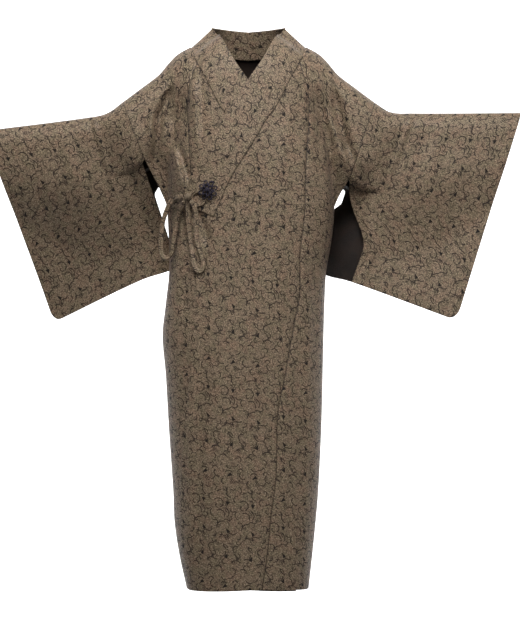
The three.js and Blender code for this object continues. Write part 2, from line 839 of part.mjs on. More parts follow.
add("body_left", bodyPanel(LEFT));
add("body_right", bodyPanel(RIGHT));
add("overlap_left", overlapPanel(LEFT));
add("overlap_right", overlapPanel(RIGHT));
add("collar_left", collar(LEFT));
add("collar_right", collar(RIGHT));
add("sleeve_left", sleeve(LEFT));
add("sleeve_right", sleeve(RIGHT));

const ring = evenly(14).map((t) => {
  const angle = lerp(0.35, 0.35 + 1.9 * Math.PI, t);
  const x = RING_X + RING_RADIUS * Math.cos(angle);
  const z = RING_Z + RING_RADIUS * Math.sin(angle);
  return { x, z, proud: RING_PROUD };
});
add("tie_flower", flower(), dark);
add("tie_ring", tie(ring));
add("tie_bow_knot", knot(BOW_X, BOW_Z, BOW_PROUD, BOW_ACROSS, BOW_DEEP));
add("tie_side_loop", tie(SIDE_LOOP));
add("tie_front_loop", tie(FRONT_LOOP));
add("tie_side", tie(SIDE_TIE));
add("tie_side_knot", knot(ROOT_X, ROOT_Z, ROOT_PROUD, ROOT_ACROSS, ROOT_ACROSS * 0.9));

export default coat;
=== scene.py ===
"""Long kimono coat of jacquard cloth, filled out as worn, with its tie and a plain stage."""

import math

import bpy
import numpy as np
from mathutils import Matrix, Vector


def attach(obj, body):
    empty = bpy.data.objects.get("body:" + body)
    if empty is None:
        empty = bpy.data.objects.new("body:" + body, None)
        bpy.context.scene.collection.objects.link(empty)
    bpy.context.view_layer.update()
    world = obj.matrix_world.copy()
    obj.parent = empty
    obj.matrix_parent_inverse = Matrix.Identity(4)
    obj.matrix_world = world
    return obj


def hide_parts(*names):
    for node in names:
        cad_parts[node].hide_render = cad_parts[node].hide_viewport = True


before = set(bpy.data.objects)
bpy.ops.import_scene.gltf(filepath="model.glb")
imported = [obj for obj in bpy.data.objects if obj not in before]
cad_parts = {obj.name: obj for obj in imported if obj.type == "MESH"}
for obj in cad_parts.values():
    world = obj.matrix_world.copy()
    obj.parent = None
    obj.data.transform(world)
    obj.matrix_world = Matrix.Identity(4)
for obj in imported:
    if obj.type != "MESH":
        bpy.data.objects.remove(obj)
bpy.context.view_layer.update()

bl_info = {
    "name": "Kimono coat",
    "version": (1, 0, 0),
    "blender": (4, 5, 0),
    "location": "View3D > Sidebar > Coat",
    "description": "Builds the cloth, seams and tie of a worn kimono coat around its frame",
    "category": "Add Mesh",
}

MM = 0.001
LEFT, RIGHT = 1, -1
FRONT, BACK = -1, 1

# Thickness of the cloth and of the doubled collar, and what stands for a place far from a seam
SHELL, COLLAR_SHELL, NO_SEAM = 1.4 * MM, 3 * MM, 50 * MM
# The collar laps its seam by a share of its width and stands out by millimetres. The two halves
# of back and collar pass the middle by millimetres.
COLLAR_LAP, COLLAR_PROUD, MIDDLE_LAP = 0.035, 2, 0.5

# Form of the cloth, in millimetres, as in the part
SEAM_GAP = 0.3
LAYER_STEP = 5.5
CHEST_ROUND = 120
ARM_ROUND = 55
ARM_DEPTH = 48
ARM_BLEND = 20
ARM_FADE = 60
HEM = -1247
HEM_DIP = 11
TIP = -82
COLLAR_END = -508
UNDER_EDGE = 0.8
SLEEVE_DROP = 490
CUFF_CLOSED = 0.5
SLEEVE_CORNER = 0.06
SIDE_SEAM_TOP = -400
UNDERARM = {LEFT: -342, RIGHT: -297}

# Level sections of the body: z, left, right, front, back and how boxy the section is
BODY = np.array([
    (10, -175, 175, 104, 108, 2.2),
    (-100, -176, 176, 111, 112, 2.2),
    (-200, -178, 178, 119, 116, 2.2),
    (-300, -180, 184, 123, 118, 2.3),
    (-400, -182, 193, 120, 119, 2.4),
    (-475, -179, 187, 116, 119, 2.4),
    (-545, -178, 175, 114, 118, 2.4),
    (-620, -186, 171, 113, 118, 2.4),
    (-690, -193, 169, 113, 119, 2.4),
    (-776, -186, 167, 112, 119, 2.4),
    (-895, -179, 164, 110, 116, 2.4),
    (-1040, -169, 157, 106, 110, 2.3),
    (-1110, -166, 151, 103, 107, 2.3),
    (-1188, -154, 143, 99, 103, 2.3),
    (-1260, -138, 135, 95, 99, 2.3),
], float)

# Height of the shoulder line over its distance from the middle
SHOULDER = np.array([
    (0, 5), (80, -15), (130, -42), (160, -59), (180, -79), (200, -103), (235, -130),
    (282, -165), (320, -192),
], float)

# Side edge of each body panel: armhole, side opening, then the side seam
SIDE_EDGE = {
    LEFT: np.array([(-165, 284), (-253, 254), (-342, 224), (-372, 206), (-400, 193)], float),
    RIGHT: np.array([(-165, 281), (-231, 256), (-297, 231), (-351, 204), (-400, 182)], float),
}

# Neckline across the back
NECKLINE = np.array([(0, -55), (65, -51), (110, -46), (130, -42)], float)

# Collar down the front: height of its seam, seam out, free edge out, free edge height
COLLAR_FRONT = np.array([
    (-42, 130, 81, 3),
    (-82, 112, 58, -31),
    (-132, 86, 31, -83),
    (-184, 60, -2, -132),
    (-212, 40, -22, -163),
    (-270, 6, -58, -222),
    (-304, -16, -81, -261),
    (-349, -43, -116, -316),
    (-404, -67, -141, -382),
    (-428, -77, -145, -397),
], float)

# Collar round the nape: out on the neckline, then the free edge
COLLAR_BACK = np.array([(0, 0, 78, 5), (65, 45, 62, 7), (110, 72, 34, 7), (130, 81, -2, 3)], float)

# Seam between each front and its overlap panel, and the free front edge
OVERLAP_SEAM = np.array([
    (-82, 112), (-162, 133), (-314, 127), (-433, 123), (-508, 114), (-602, 113), (-668, 100),
    (-773, 82), (-860, 65), (-1001, 61), (-1087, 50), (-1170, 42), (-1250, 30),
], float)
FRONT_EDGE = np.array([
    (-397, -145), (-428, -132), (-567, -114), (-655, -118), (-743, -125), (-831, -134),
    (-957, -147), (-1055, -152), (-1158, -149), (-1258, -132),
], float)

# Folds: facing, from x z to x z, how far the cloth stands out along it, and its width
FOLDS = [
    (FRONT, -150, -170, -190, -330, -14, 20),
    (FRONT, -172, -270, -150, -372, 12, 14),
    (FRONT, -118, -120, -122, -300, 5, 16),
    (FRONT, 150, -150, 190, -330, -12, 20),
    (FRONT, 170, -230, 180, -400, 7, 14),
    (FRONT, -136, -450, -140, -640, -6, 12),
    (FRONT, -90, -440, -100, -600, -5, 14),
    (FRONT, 60, -430, 20, -760, 4, 26),
    (FRONT, 120, -600, 130, -1100, -5, 22),
    (FRONT, -60, -700, -80, -1150, 4, 30),
    (BACK, -150, -170, -185, -330, -12, 22),
    (BACK, 150, -170, 185, -330, -12, 22),
    (BACK, -60, -420, -80, -900, -5, 26),
    (BACK, 70, -400, 95, -980, -5, 28),
    (BACK, 10, -600, -5, -1150, 5, 34),
]

# Sleeve lines from the top fold to the bottom edge: share of the width, top out, top z,
# end out, end z, top y, end y, and how far the arm holds front and back apart
SLEEVE_LINES = {
    LEFT: np.array([
        (0, 284, -165, 163, -546, 0, 86, 50),
        (0.1, 318, -186, 186, -556, 0, 62, 44),
        (0.27, 367, -190, 232, -569, 0, 12, 34),
        (1, 613, -189, 466, -656, 0, -18, 20),
    ], float),
    RIGHT: np.array([
        (0, 281, -165, 163, -533, 0, 92, 50),
        (0.1, 312, -187, 187, -544, 4, 80, 44),
        (0.27, 350, -197, 243, -563, 10, 56, 34),
        (1, 596, -227, 452, -660, 24, 128, 20),
    ], float),
}

# Soft sags of each sleeve: share of width, share of drop, how far out, width and height
SLEEVE_SAGS = [
    (0.3, 0.3, -5, 0.12, 0.16),
    (0.62, 0.36, 6, 0.2, 0.14),
    (0.7, 0.72, -5, 0.22, 0.18),
]
# Pressed lines down each sleeve: share of width, from and to share of drop, how far out, width
SLEEVE_CREASES = [
    (0.27, -0.1, 0.42, 3.4, 0.014),
    (0.295, -0.1, 0.4, -2.2, 0.02),
    (0.27, 0.68, 1.1, 3.0, 0.012),
    (0.24, 0.66, 1.1, -4.0, 0.022),
    (0.5, 0.1, 0.62, 2.4, 0.05),
    (0.78, 0.3, 0.95, -2.4, 0.06),
    (0.12, 0.3, 0.8, -5.0, 0.05),
]
# Open edges under the arm. The front one is turned back by a share of the width, which comes
# over a range of the drop. The back one reaches in: how far, then where that comes and goes.
# Both fade over a share of the width, and the turned edge flares by millimetres a full turn.
FRONT_TURN = {LEFT: (0.27, 0.46, 0.82), RIGHT: (0.0, 0.46, 0.82)}
BACK_REACH = {
    LEFT: [(17, 0.36, 0.42, 0.47, 0.52), (17, 0.58, 0.64, 0.86, 1.0)],
    RIGHT: [(25, 0.33, 0.37, 0.46, 0.56)],
}
TURN_SPAN = 0.45
REACH_SPAN = 0.3
TURN_FLARE = 24


def lerp(a, b, t):
    return a + (b - a) * t


def between(low, high, value):
    t = np.clip((value - low) / (high - low), 0, 1)
    return t * t * (3 - 2 * t)


def along(table, at, column, key=0):
    """A smooth curve through one column of a table, held at the table's ends."""
    order = np.argsort(table[:, key], kind="stable")
    keys, values = table[order, key], table[order, column]
    slopes = np.empty(len(keys))
    slopes[1:-1] = (values[2:] - values[:-2]) / (keys[2:] - keys[:-2])
    slopes[0] = (values[1] - values[0]) / (keys[1] - keys[0])
    slopes[-1] = (values[-1] - values[-2]) / (keys[-1] - keys[-2])
    i = np.clip(np.searchsorted(keys, at, side="left") - 1, 0, len(keys) - 2)
    step = keys[i + 1] - keys[i]
    t = np.clip((at - keys[i]) / step, 0, 1)
    bend = t * t * (3 - 2 * t)
    return (
        lerp(values[i], values[i + 1], bend)
        + step * (t * (1 - t) ** 2 * slopes[i] - t * t * (1 - t) * slopes[i + 1])
    )


# In millimetres: out from the middle where one underarm's height passes to the other's, where
# the shoulder's rounding narrows, and the depth of cloth under which folds fade
ARM_CHANGE, ROUND_FROM, ROUND_TO, THIN_BODY = 60, 100, 200, 60
# Where the upper front lifts off the under one: out from the middle, and down from the neck
OVERLAP_REACH, LIFT_FROM, LIFT_TO = 150, -40, -110
SLOPE_STEP = 0.2
ON_RIDGE = 0.01


def folds_at(x, z, facing):
    total = np.zeros(np.broadcast(x, z).shape)
    for side, top_x, top_z, end_x, end_z, proud, width in FOLDS:
        if side != facing:
            continue
        t = np.clip((top_z - z) / (top_z - end_z), -0.2, 1.2)
        off = (x - lerp(top_x, end_x, t)) / width
        fade = between(-0.2, 0.25, t) * (1 - between(0.7, 1.2, t))
        total = total + proud * fade * np.exp(-off * off)
    return total


def depth_at(x, z, facing):
    """How far the cloth stands from the plane of the shoulder line."""
    left = along(BODY, z, 1)
    right = along(BODY, z, 2)
    square = along(BODY, z, 5)
    reach = along(BODY, z, 3 if facing == FRONT else 4)
    off = np.abs((2 * x - left - right) / (right - left))
    shape = np.power(np.maximum(1 - np.minimum(off, 1) ** square, 0), 1 / square)
    chest = reach * shape
    underarm = lerp(UNDERARM[RIGHT], UNDERARM[LEFT], between(-ARM_CHANGE, ARM_CHANGE, x))
    arm = between(SIDE_SEAM_TOP, underarm + ARM_FADE, z)
    body = (chest + ARM_DEPTH * arm + np.hypot(chest - ARM_DEPTH * arm, ARM_BLEND * arm)) / 2
    drop = along(SHOULDER, np.abs(x), 1) - z
    rounding = lerp(CHEST_ROUND, ARM_ROUND, between(ROUND_FROM, ROUND_TO, np.abs(x)))
    rest = 1 - np.clip(drop / rounding, 0, 1)
    ridge = np.sqrt(1 - rest * rest)
    folds = folds_at(x, z, facing) * ridge * np.minimum(1, body / THIN_BODY)
    return np.maximum(body * ridge + folds, SEAM_GAP / 2)


def layer_lift(x, z, side):
    """The outer front lies over the under front by one step where they overlap."""
    over = LAYER_STEP * between(-OVERLAP_REACH, OVERLAP_REACH, -x)
    over = over if side == LEFT else over - LAYER_STEP
    return (1 - between(LIFT_TO, LIFT_FROM, z)) * over


def skin(side, x, z, facing):
    """Points of the cloth's outer face with their outward normals."""
    step = SLOPE_STEP
    slope_x = (depth_at(x + step, z, facing) - depth_at(x - step, z, facing)) / (2 * step)
    slope_z = (depth_at(x, z + step, facing) - depth_at(x, z - step, facing)) / (2 * step)
    ridge = along(SHOULDER, np.abs(x), 1) - z < ON_RIDGE
    lift = layer_lift(x, z, side) if facing == FRONT else 0
    depth = np.where(ridge, 0, depth_at(x, z, facing) + lift)
    points = np.stack([x, facing * depth, z + 0 * x], axis=-1)
    normals = np.stack([-slope_x, np.where(ridge, 0, facing), -slope_z], axis=-1)
    return points, unit(normals)


def unit(vectors):
    return vectors / np.maximum(np.linalg.norm(vectors, axis=-1, keepdims=True), 1e-9)

# How finely the cloth is divided in rows and columns
UPPER_ROWS = 44
MIDDLE_ROWS = 14
LOWER_ROWS = 96
BODY_COLUMNS = 46
OKUMI_COLUMNS = 30
OKUMI_FRONT_COLUMNS = 12
COLLAR_COLUMNS = 12
COLLAR_ROWS = 44
SLEEVE_COLUMNS = 64
SLEEVE_ROWS = 56
UPPER, MIDDLE, LOWER = 0, 1, 2
# Rows crowd towards the shoulder by this power, and a row meets an edge after this many halvings
CROWDING = 1.6
HALVINGS = 40
WIDEST = 300
NECK_WIDTH = 130
HEM_DIP_REACH = 150


def body_rows():
    """Rows from the shoulder to the hem: kind and share of its stretch."""
    upper = [(UPPER, (i / UPPER_ROWS) ** CROWDING) for i in range(UPPER_ROWS + 1)]
    middle = [(MIDDLE, (i + 1) / MIDDLE_ROWS) for i in range(MIDDLE_ROWS)]
    lower = [(LOWER, (i + 1) / LOWER_ROWS) for i in range(LOWER_ROWS)]
    return np.array(upper + middle + lower, float)


def row_height(side, rows, out):
    """Height of each row at each distance from the middle; rows run down the first axis."""
    kind = rows[:, 0]
    share = rows[:, 1]
    if np.ndim(out) == 2:
        kind = kind[:, None]
        share = share[:, None]
    shoulder = along(SHOULDER, np.abs(out), 1)
    upper = lerp(shoulder, UNDERARM[side], share)
    middle = lerp(UNDERARM[side], COLLAR_END, share)
    dip = HEM_DIP * share * np.clip(out / HEM_DIP_REACH, -1, 1) ** 2
    lower = lerp(COLLAR_END, HEM, share) - dip
    return np.where(kind == UPPER, upper, np.where(kind == MIDDLE, middle, lower))


def furthest_out(rows, high, is_inside):
    """How far out from the middle a test holds, for each row."""
    low = np.zeros(len(rows))
    high = np.full(len(rows), float(high))
    for _ in range(HALVINGS):
        out = (low + high) / 2
        inside = is_inside(out)
        low = np.where(inside, out, low)
        high = np.where(inside, high, out)
    return (low + high) / 2


def meet(side, rows, edge):
    """Where each row meets an edge given as a distance from the middle over height."""
    return furthest_out(rows, WIDEST, lambda out: edge(row_height(side, rows, out)) > out)


def side_edge(side, rows):
    def edge(z):
        seam = side * along(BODY, z, 2 if side == LEFT else 1)
        return np.where(z > SIDE_SEAM_TOP, along(SIDE_EDGE[side], z, 1), seam)

    return meet(side, rows, edge)


def front_inner(side, rows):
    def edge(z):
        return np.where(z > TIP, along(COLLAR_FRONT, z, 1), along(OVERLAP_SEAM, z, 1))

    return meet(side, rows, edge)


def back_inner(side, rows):
    def above(out):
        return row_height(side, rows, out) > along(NECKLINE, out, 1)

    under = row_height(side, rows, np.zeros(len(rows))) < NECKLINE[0, 1]
    return np.where(under, 0, furthest_out(rows, NECK_WIDTH, above))


def section(z):
    """Middle and half width of the body at a height."""
    left, right = along(BODY, z, 1), along(BODY, z, 2)
    return (left + right) / 2, (right - left) / 2


def spread(side, start, end, z, steps):
    """Columns from one place to another that stay even round the body's sides."""
    middle, half = section(z)
    half = np.maximum(half, np.abs(side * start - middle))
    half = np.maximum(half, np.abs(side * end - middle))
    angle_start = np.arcsin(np.clip((side * start - middle) / half, -1, 1))
    angle_end = np.arcsin(np.clip((side * end - middle) / half, -1, 1))
    angles = lerp(angle_start[:, None], angle_end[:, None], steps)
    return middle[:, None] + half[:, None] * np.sin(angles)


def body_grid(side):
    """One length of cloth: rows from the front hem over the shoulder to the back hem."""
    rows = body_rows()
    steps = np.linspace(0, 1, BODY_COLUMNS + 1)[None, :]
    halves = []
    for facing in (FRONT, BACK):
        if facing == FRONT:
            inner = front_inner(side, rows) + SEAM_GAP / 2
        else:
            inner = back_inner(side, rows) - MIDDLE_LAP
        outer = side_edge(side, rows) - np.where(rows[:, 0] == UPPER, 0, SEAM_GAP / 2)
        z = row_height(side, rows, (inner + outer) / 2)
        x = spread(side, inner, outer, z, steps)
        points, _ = skin(side, x, row_height(side, rows, np.abs(x)), facing)
        halves.append(points)
    return np.concatenate([halves[0][::-1], halves[1][1:]])


def overlap_grid(side):
    """The overlap panel, and which of its cells the collar's slant leaves open."""
    rows = body_rows()
    out = front_inner(side, rows)
    z = row_height(side, rows, out)
    upper = (z < TIP - 3) & (rows[:, 0] < LOWER)
    lower = rows[:, 0] == LOWER
    tip = np.nonzero(z >= TIP - 3)[0][-1]
    end_z = COLLAR_FRONT[-1, 0]
    corner_z, corner_out = FRONT_EDGE[0]

    sewn_z = lerp(TIP, end_z, (TIP - z[upper]) / (TIP - COLLAR_END))
    sewn_out = along(COLLAR_FRONT, sewn_z, 1)
    share = rows[lower, 1]
    bottom = row_height(side, rows[lower], np.full(lower.sum(), FRONT_EDGE[-1, 1]))
    free_z = lerp(corner_z, bottom, between(0, 1, share) ** 0.9)
    reach = 1 if side == LEFT else lerp(1, UNDER_EDGE, between(0, 0.2, share))
    free_out = reach * along(FRONT_EDGE, free_z, 1)

    def place(from_out, from_z, to_out, to_z, steps, lower_by=0):
        x = spread(side, from_out, to_out, (from_z + to_z) / 2, steps)
        part = (side * x - from_out[:, None]) / (to_out - from_out)[:, None]
        height = lerp(from_z[:, None], to_z[:, None], part) + lower_by
        return skin(side, x, height, FRONT)[0]

    tail = np.linspace(0, 1, OKUMI_COLUMNS + 1)[None, :]
    head = np.linspace(0, 1, OKUMI_FRONT_COLUMNS + 1)[None, :-1]
    seam_out = out[upper] - SEAM_GAP / 2
    sewn_tail = place(sewn_out + SEAM_GAP / 2, sewn_z, seam_out, z[upper], tail)
    sewn_head = np.repeat(sewn_tail[:, :1], OKUMI_FRONT_COLUMNS, axis=1)
    last = slice(len(sewn_out) - 1, len(sewn_out))
    sewn_head[last] = place(
        np.array([corner_out]), np.array([corner_z]), sewn_out[last], sewn_z[last], head, -SEAM_GAP
    )
    middle, half = section(z[upper][-1])
    corner_turn, end_turn, seam_turn = (
        math.asin((side * x - middle) / half) for x in (corner_out, sewn_out[-1], out[upper][-1])
    )
    step = (end_turn - corner_turn) / (seam_turn - corner_turn)
    steps = np.concatenate([head * step, lerp(step, 1, tail)], axis=1)
    free = place(free_out, free_z, out[lower] - SEAM_GAP / 2, z[lower], steps)
    sewn = np.concatenate([sewn_head, sewn_tail], axis=1)
    start = skin(side, np.array([side * out[tip]]), np.array([z[tip]]), FRONT)[0][0]
    point = lerp(start, sewn[:1], 0.12)
    grid = np.concatenate([point, sewn, free])
    cells = np.ones((len(grid) - 1, grid.shape[1] - 1), bool)
    cells[: len(sewn), :OKUMI_FRONT_COLUMNS] = False
    return grid, cells


def collar_grid(side):
    """The collar from the middle of the nape down to its end on the overlap panel."""
    back_steps = 1 - (1 - np.linspace(0, 1, COLLAR_ROWS)[:-1]) ** CROWDING
    back_out = lerp(-MIDDLE_LAP, NECK_WIDTH, back_steps)
    back_z = along(NECKLINE, back_out, 1)
    top, end = COLLAR_FRONT[0, 0], COLLAR_FRONT[-1, 0]
    front_z = lerp(top, end, np.linspace(0, 1, 2 * COLLAR_ROWS) ** 1.3)
    front_out = along(COLLAR_FRONT, front_z, 1)
    steps = lerp(-COLLAR_LAP, 1, np.linspace(0, 1, COLLAR_COLUMNS + 1))[None, :, None]

    base_back = skin(side, side * back_out, back_z, BACK)[0]
    free_back = np.stack(
        [
            side * along(COLLAR_BACK, back_out, 1),
            along(COLLAR_BACK, back_out, 2),
            along(COLLAR_BACK, back_out, 3),
        ],
        axis=-1,
    )
    base_front = skin(side, side * front_out, front_z, FRONT)[0]
    free_x = side * along(COLLAR_FRONT, front_z, 2)
    free_z = along(COLLAR_FRONT, front_z, 3)
    lies = 1 - between(-90, -44, front_z)
    laid = skin(side, free_x, free_z, FRONT)[0]
    free_front = np.stack([free_x, lerp(-2, laid[:, 1], lies), free_z], axis=-1)

    base = np.concatenate([base_back, base_front])[:, None]
    free = np.concatenate([free_back, free_front])[:, None]
    lies = np.concatenate([np.zeros(len(base_back)), lies])[:, None]
    grid = lerp(base, free, steps)
    lying, lying_normals = skin(side, grid[..., 0], grid[..., 2], FRONT)
    grid[..., 1] = lerp(grid[..., 1], lying[..., 1], lies)
    lengthways = np.gradient(grid, axis=0)
    across = (grid[:, -1] - grid[:, 0])[:, None]
    own = unit(np.cross(lengthways, across) * side)
    normals = unit(lerp(own, lying_normals, lies[..., None]))
    normals[:2, :, 0] = 0
    return grid + unit(normals) * COLLAR_PROUD


def sleeve_grid(side):
    """One sheet folded along the sleeve's top: rows from the front bottom to the back bottom."""
    lines = SLEEVE_LINES[side]
    rows = body_rows()
    rows = rows[rows[:, 0] == UPPER]
    out = side_edge(side, rows)
    z = row_height(side, rows, out)
    top_out, top_z, end_out, end_z = lines[0, 1:5]
    length = math.hypot(end_out - top_out, end_z - top_z)
    sewn_t = np.hypot(out - top_out, z - top_z) / length
    sewn_t[0] = 0
    free_t = lerp(sewn_t[-1], 1, np.arange(1, SLEEVE_ROWS + 1) / SLEEVE_ROWS)
    drops = np.concatenate([sewn_t, free_t])[:, None]
    widths = (np.linspace(0, 1, SLEEVE_COLUMNS + 1) ** 1.1)[None, :]

    a = (widths - 1 + SLEEVE_CORNER) / SLEEVE_CORNER + 0 * drops
    b = (drops - 1 + SLEEVE_CORNER) / SLEEVE_CORNER + 0 * widths
    rounded = (a > 0) & (b > 0)
    scale = np.maximum(a, b) / np.maximum(np.hypot(a, b), 1e-6)
    u = np.where(rounded, 1 - SLEEVE_CORNER * (1 - a * scale), widths + 0 * drops)
    v = np.where(rounded, 1 - SLEEVE_CORNER * (1 - b * scale), drops + 0 * widths)

    def surface(at):
        """Place of the sheet's middle at a share of the width."""
        x = lerp(along(lines, at, 1), along(lines, at, 3), v)
        height = lerp(along(lines, at, 2), along(lines, at, 4), v)
        swing = between(0.1, 1, v) * 0.6 + v * 0.4
        y = lerp(along(lines, at, 5), along(lines, at, 6), swing)
        fade = between(0, 0.15, at) * between(0, 0.1, 1 - v) * between(0, 0.12, v)
        for at_s, at_t, proud, width, tall in SLEEVE_SAGS:
            near = ((at - at_s) / width) ** 2 + ((v - at_t) / tall) ** 2
            y = y - proud * fade * np.exp(-near)
        for at_s, top_t, end_t, proud, width in SLEEVE_CREASES:
            t = (v - top_t) / (end_t - top_t)
            off = (at - at_s - 0.006 * np.sin(9 * v)) / width
            press = between(-0.1, 0.2, t) * (1 - between(0.75, 1.1, t))
            y = y - proud * press * np.exp(-off * off) * between(0, 0.03, v)
        return x, y, height

    rest = 1 - np.clip(v * SLEEVE_DROP / ARM_ROUND, 0, 1)
    closed = lerp(0.95, CUFF_CLOSED, u ** 3)
    taper = 1 - between(0.22, closed, v)
    held = along(lines, u, 7) * np.sqrt(1 - rest * rest) * taper
    half = np.maximum(held, np.where(drops > 0, SHELL / MM + 0.1, 0))
    blend = 1 - between(0, 0.3, widths)
    halves = []
    for facing in (FRONT, BACK):
        share, start, full = FRONT_TURN[side]
        turn = share * between(start, full, v) * (1 - between(0, TURN_SPAN, u))
        turn = turn if facing == FRONT else 0 * u
        x, y, height = surface(u + turn)
        points = np.stack([side * x, y + facing * (half + TURN_FLARE * turn), height], axis=-1)
        joined = skin(side, side * out, z, facing)[0]
        goal = np.stack([side * (out + SEAM_GAP / 2), joined[:, 1], z], axis=-1)
        shift = goal - points[: len(rows), 0]
        points[: len(rows)] += shift[:, None] * blend[..., None]
        for far, start, full, fading, gone in BACK_REACH[side] if facing == BACK else []:
            reach = far * between(start, full, v) * (1 - between(fading, gone, v))
            points[..., 0] -= side * reach * (1 - between(0, REACH_SPAN, u))
        halves.append(points)
    return np.concatenate([halves[0][::-1], halves[1][1:]])

# Soft creases over the main form: facing, from x z to x z, how far out, and width
CREASES = [
    (FRONT, -172, -140, -203, -215, -13, 9),
    (FRONT, -200, -200, -208, -350, -17, 10),
    (FRONT, -183, -138, -212, -190, 6, 7),
    (FRONT, -210, -185, -224, -280, 7, 6),
    (FRONT, -166, -270, -139, -372, 7, 5),
    (FRONT, -152, -270, -126, -368, -9, 7),
    (FRONT, -122, -135, -111, -272, 4, 8),
    (FRONT, -176, -215, -182, -320, 6, 10),
    (FRONT, -104, -120, -100, -250, -2.5, 6),
    (FRONT, -140, -150, -136, -262, -5, 8),
    (FRONT, -138, -400, -134, -505, -9, 7),
    (FRONT, -106, -415, -88, -495, -8, 8),
    (FRONT, -122, -410, -117, -520, 3, 6),
    (FRONT, -82, -440, -88, -600, 2.5, 8),
    (FRONT, 148, -115, 221, -317, 8, 8),
    (FRONT, 188, -132, 226, -290, -16, 10),
    (FRONT, 215, -250, 246, -320, -9, 14),
    (FRONT, 111, -72, 136, -149, -3.5, 8),
    (FRONT, 140, -110, 160, -300, -3, 9),
    (FRONT, 166, -215, 194, -350, -10, 8),
    (FRONT, 112, -88, 146, -170, 4, 6),
    (FRONT, 90, -190, 70, -420, 2.2, 16),
    (FRONT, 30, -300, 10, -640, -2, 18),
    (FRONT, 150, -420, 148, -900, -3, 12),
    (FRONT, 132, -560, 128, -1180, 2.6, 12),
    (FRONT, 96, -640, 90, -1230, -2.6, 12),
    (FRONT, 20, -720, 6, -1230, -2.4, 16),
    (FRONT, -30, -560, -50, -1200, 2.4, 16),
    (FRONT, -96, -640, -112, -1220, -3, 10),
    (FRONT, -120, -620, -132, -1150, 2.5, 8),
    (BACK, -150, -140, -190, -330, -6, 12),
    (BACK, 150, -140, 190, -330, -6, 12),
    (BACK, -120, -160, -128, -420, 3, 10),
    (BACK, 118, -180, 128, -460, 3, 10),
    (BACK, -70, -140, -66, -480, -2, 14),
    (BACK, 62, -150, 70, -520, -2, 14),
    (BACK, -140, -460, -146, -1000, -3.5, 12),
    (BACK, 140, -460, 142, -1040, -3.5, 12),
    (BACK, -104, -520, -110, -1220, 3, 14),
    (BACK, 104, -560, 100, -1220, 3, 14),
    (BACK, -30, -600, -36, -1220, -3, 18),
    (BACK, 44, -640, 36, -1220, 3, 18),
]


SEAM_WIDE, SEAM_DEEP, SEAM_START = 3.4, 2.2, 20
# Creases end short of the shoulder line and fade where the cloth is thin from front to back
CREASE_CLEAR, CREASE_ROOM = 60, 40


def creases_at(x, z, facing):
    total = np.zeros(np.broadcast(x, z).shape)
    for number, (side, x0, z0, x1, z1, proud, width) in enumerate(CREASES):
        if side != facing:
            continue
        t = np.clip((z0 - z) / (z0 - z1), -0.15, 1.15)
        wander = 0.25 * width * np.sin(5 * t + number)
        off = (x - lerp(x0, x1, t) - wander) / (width * (1 + 0.2 * np.sin(7 * t + 2 * number)))
        fade = between(-0.15, 0.25, t) * (1 - between(0.65, 1.15, t))
        total = total + proud * fade * np.exp(-off * off)
    return total


def crease(grid, side, facing_rows):
    """Presses the creases and the overlap's seam into a grid, in or out along its depth."""
    x, z = grid[..., 0], grid[..., 2]
    ridge = np.clip((along(SHOULDER, np.abs(x), 1) - z) / CREASE_CLEAR, 0, 1)
    for facing, rows in facing_rows:
        depth = creases_at(x[rows], z[rows], facing) * ridge[rows]
        if facing == FRONT:
            off = (side * x[rows] - along(OVERLAP_SEAM, z[rows], 1)) / SEAM_WIDE
            begun = between(TIP + SEAM_START, TIP - SEAM_START, z[rows])
            depth = depth - SEAM_DEEP * np.exp(-off * off) * begun
        room = np.maximum(depth_at(x[rows], z[rows], facing), 0) / CREASE_ROOM
        grid[rows, :, 1] += facing * depth * np.minimum(1, room)
    return grid


def arc_lengths(grid, axis):
    steps = np.linalg.norm(np.diff(grid, axis=axis), axis=-1)
    pad = [(0, 0), (0, 0)]
    pad[axis] = (1, 0)
    return np.pad(np.cumsum(steps, axis=axis), pad)


def level_arcs(grid):
    """Distance round each row, seen from above."""
    steps = np.linalg.norm(np.diff(grid[..., :2], axis=1), axis=-1)
    return np.pad(np.cumsum(steps, axis=1), [(0, 0), (1, 0)])


def length_down(grid):
    """Distance down the middle column, counted from half of the sheet's length."""
    middle = grid.shape[1] // 2
    down = arc_lengths(grid, 0)[:, middle : middle + 1]
    return down.max() / 2 - down


def cloth_uv(across, down, skew=0):
    """Place on the flat cloth in metres, u towards the wearer's left and v down the front."""
    across, down = np.broadcast_arrays(across, down)
    return np.stack([across, down + skew * across], axis=-1) * MM


def seam_distance(grid, first, last):
    """Millimetres from each point to the first or last column, where it is sewn."""
    across = arc_lengths(grid, 1)
    away = np.full(across.shape, NO_SEAM / MM)
    if first:
        away = np.minimum(away, across)
    if last:
        away = np.minimum(away, across[:, -1:] - across)
    return np.stack([away, 0 * away], axis=-1) * MM


def link_mesh(name, points, faces, layers):
    """A smooth object from points in millimetres, its UV maps given corner by corner."""
    mesh = bpy.data.meshes.new(name)
    mesh.from_pydata((points * MM).tolist(), [], faces)
    for label, values in layers.items():
        mesh.uv_layers.new(name=label).uv.foreach_set("vector", values.ravel())
    mesh.polygons.foreach_set("use_smooth", [True] * len(mesh.polygons))
    mesh.update()
    piece = bpy.data.objects.new(name, mesh)
    bpy.context.collection.objects.link(piece)
    return piece


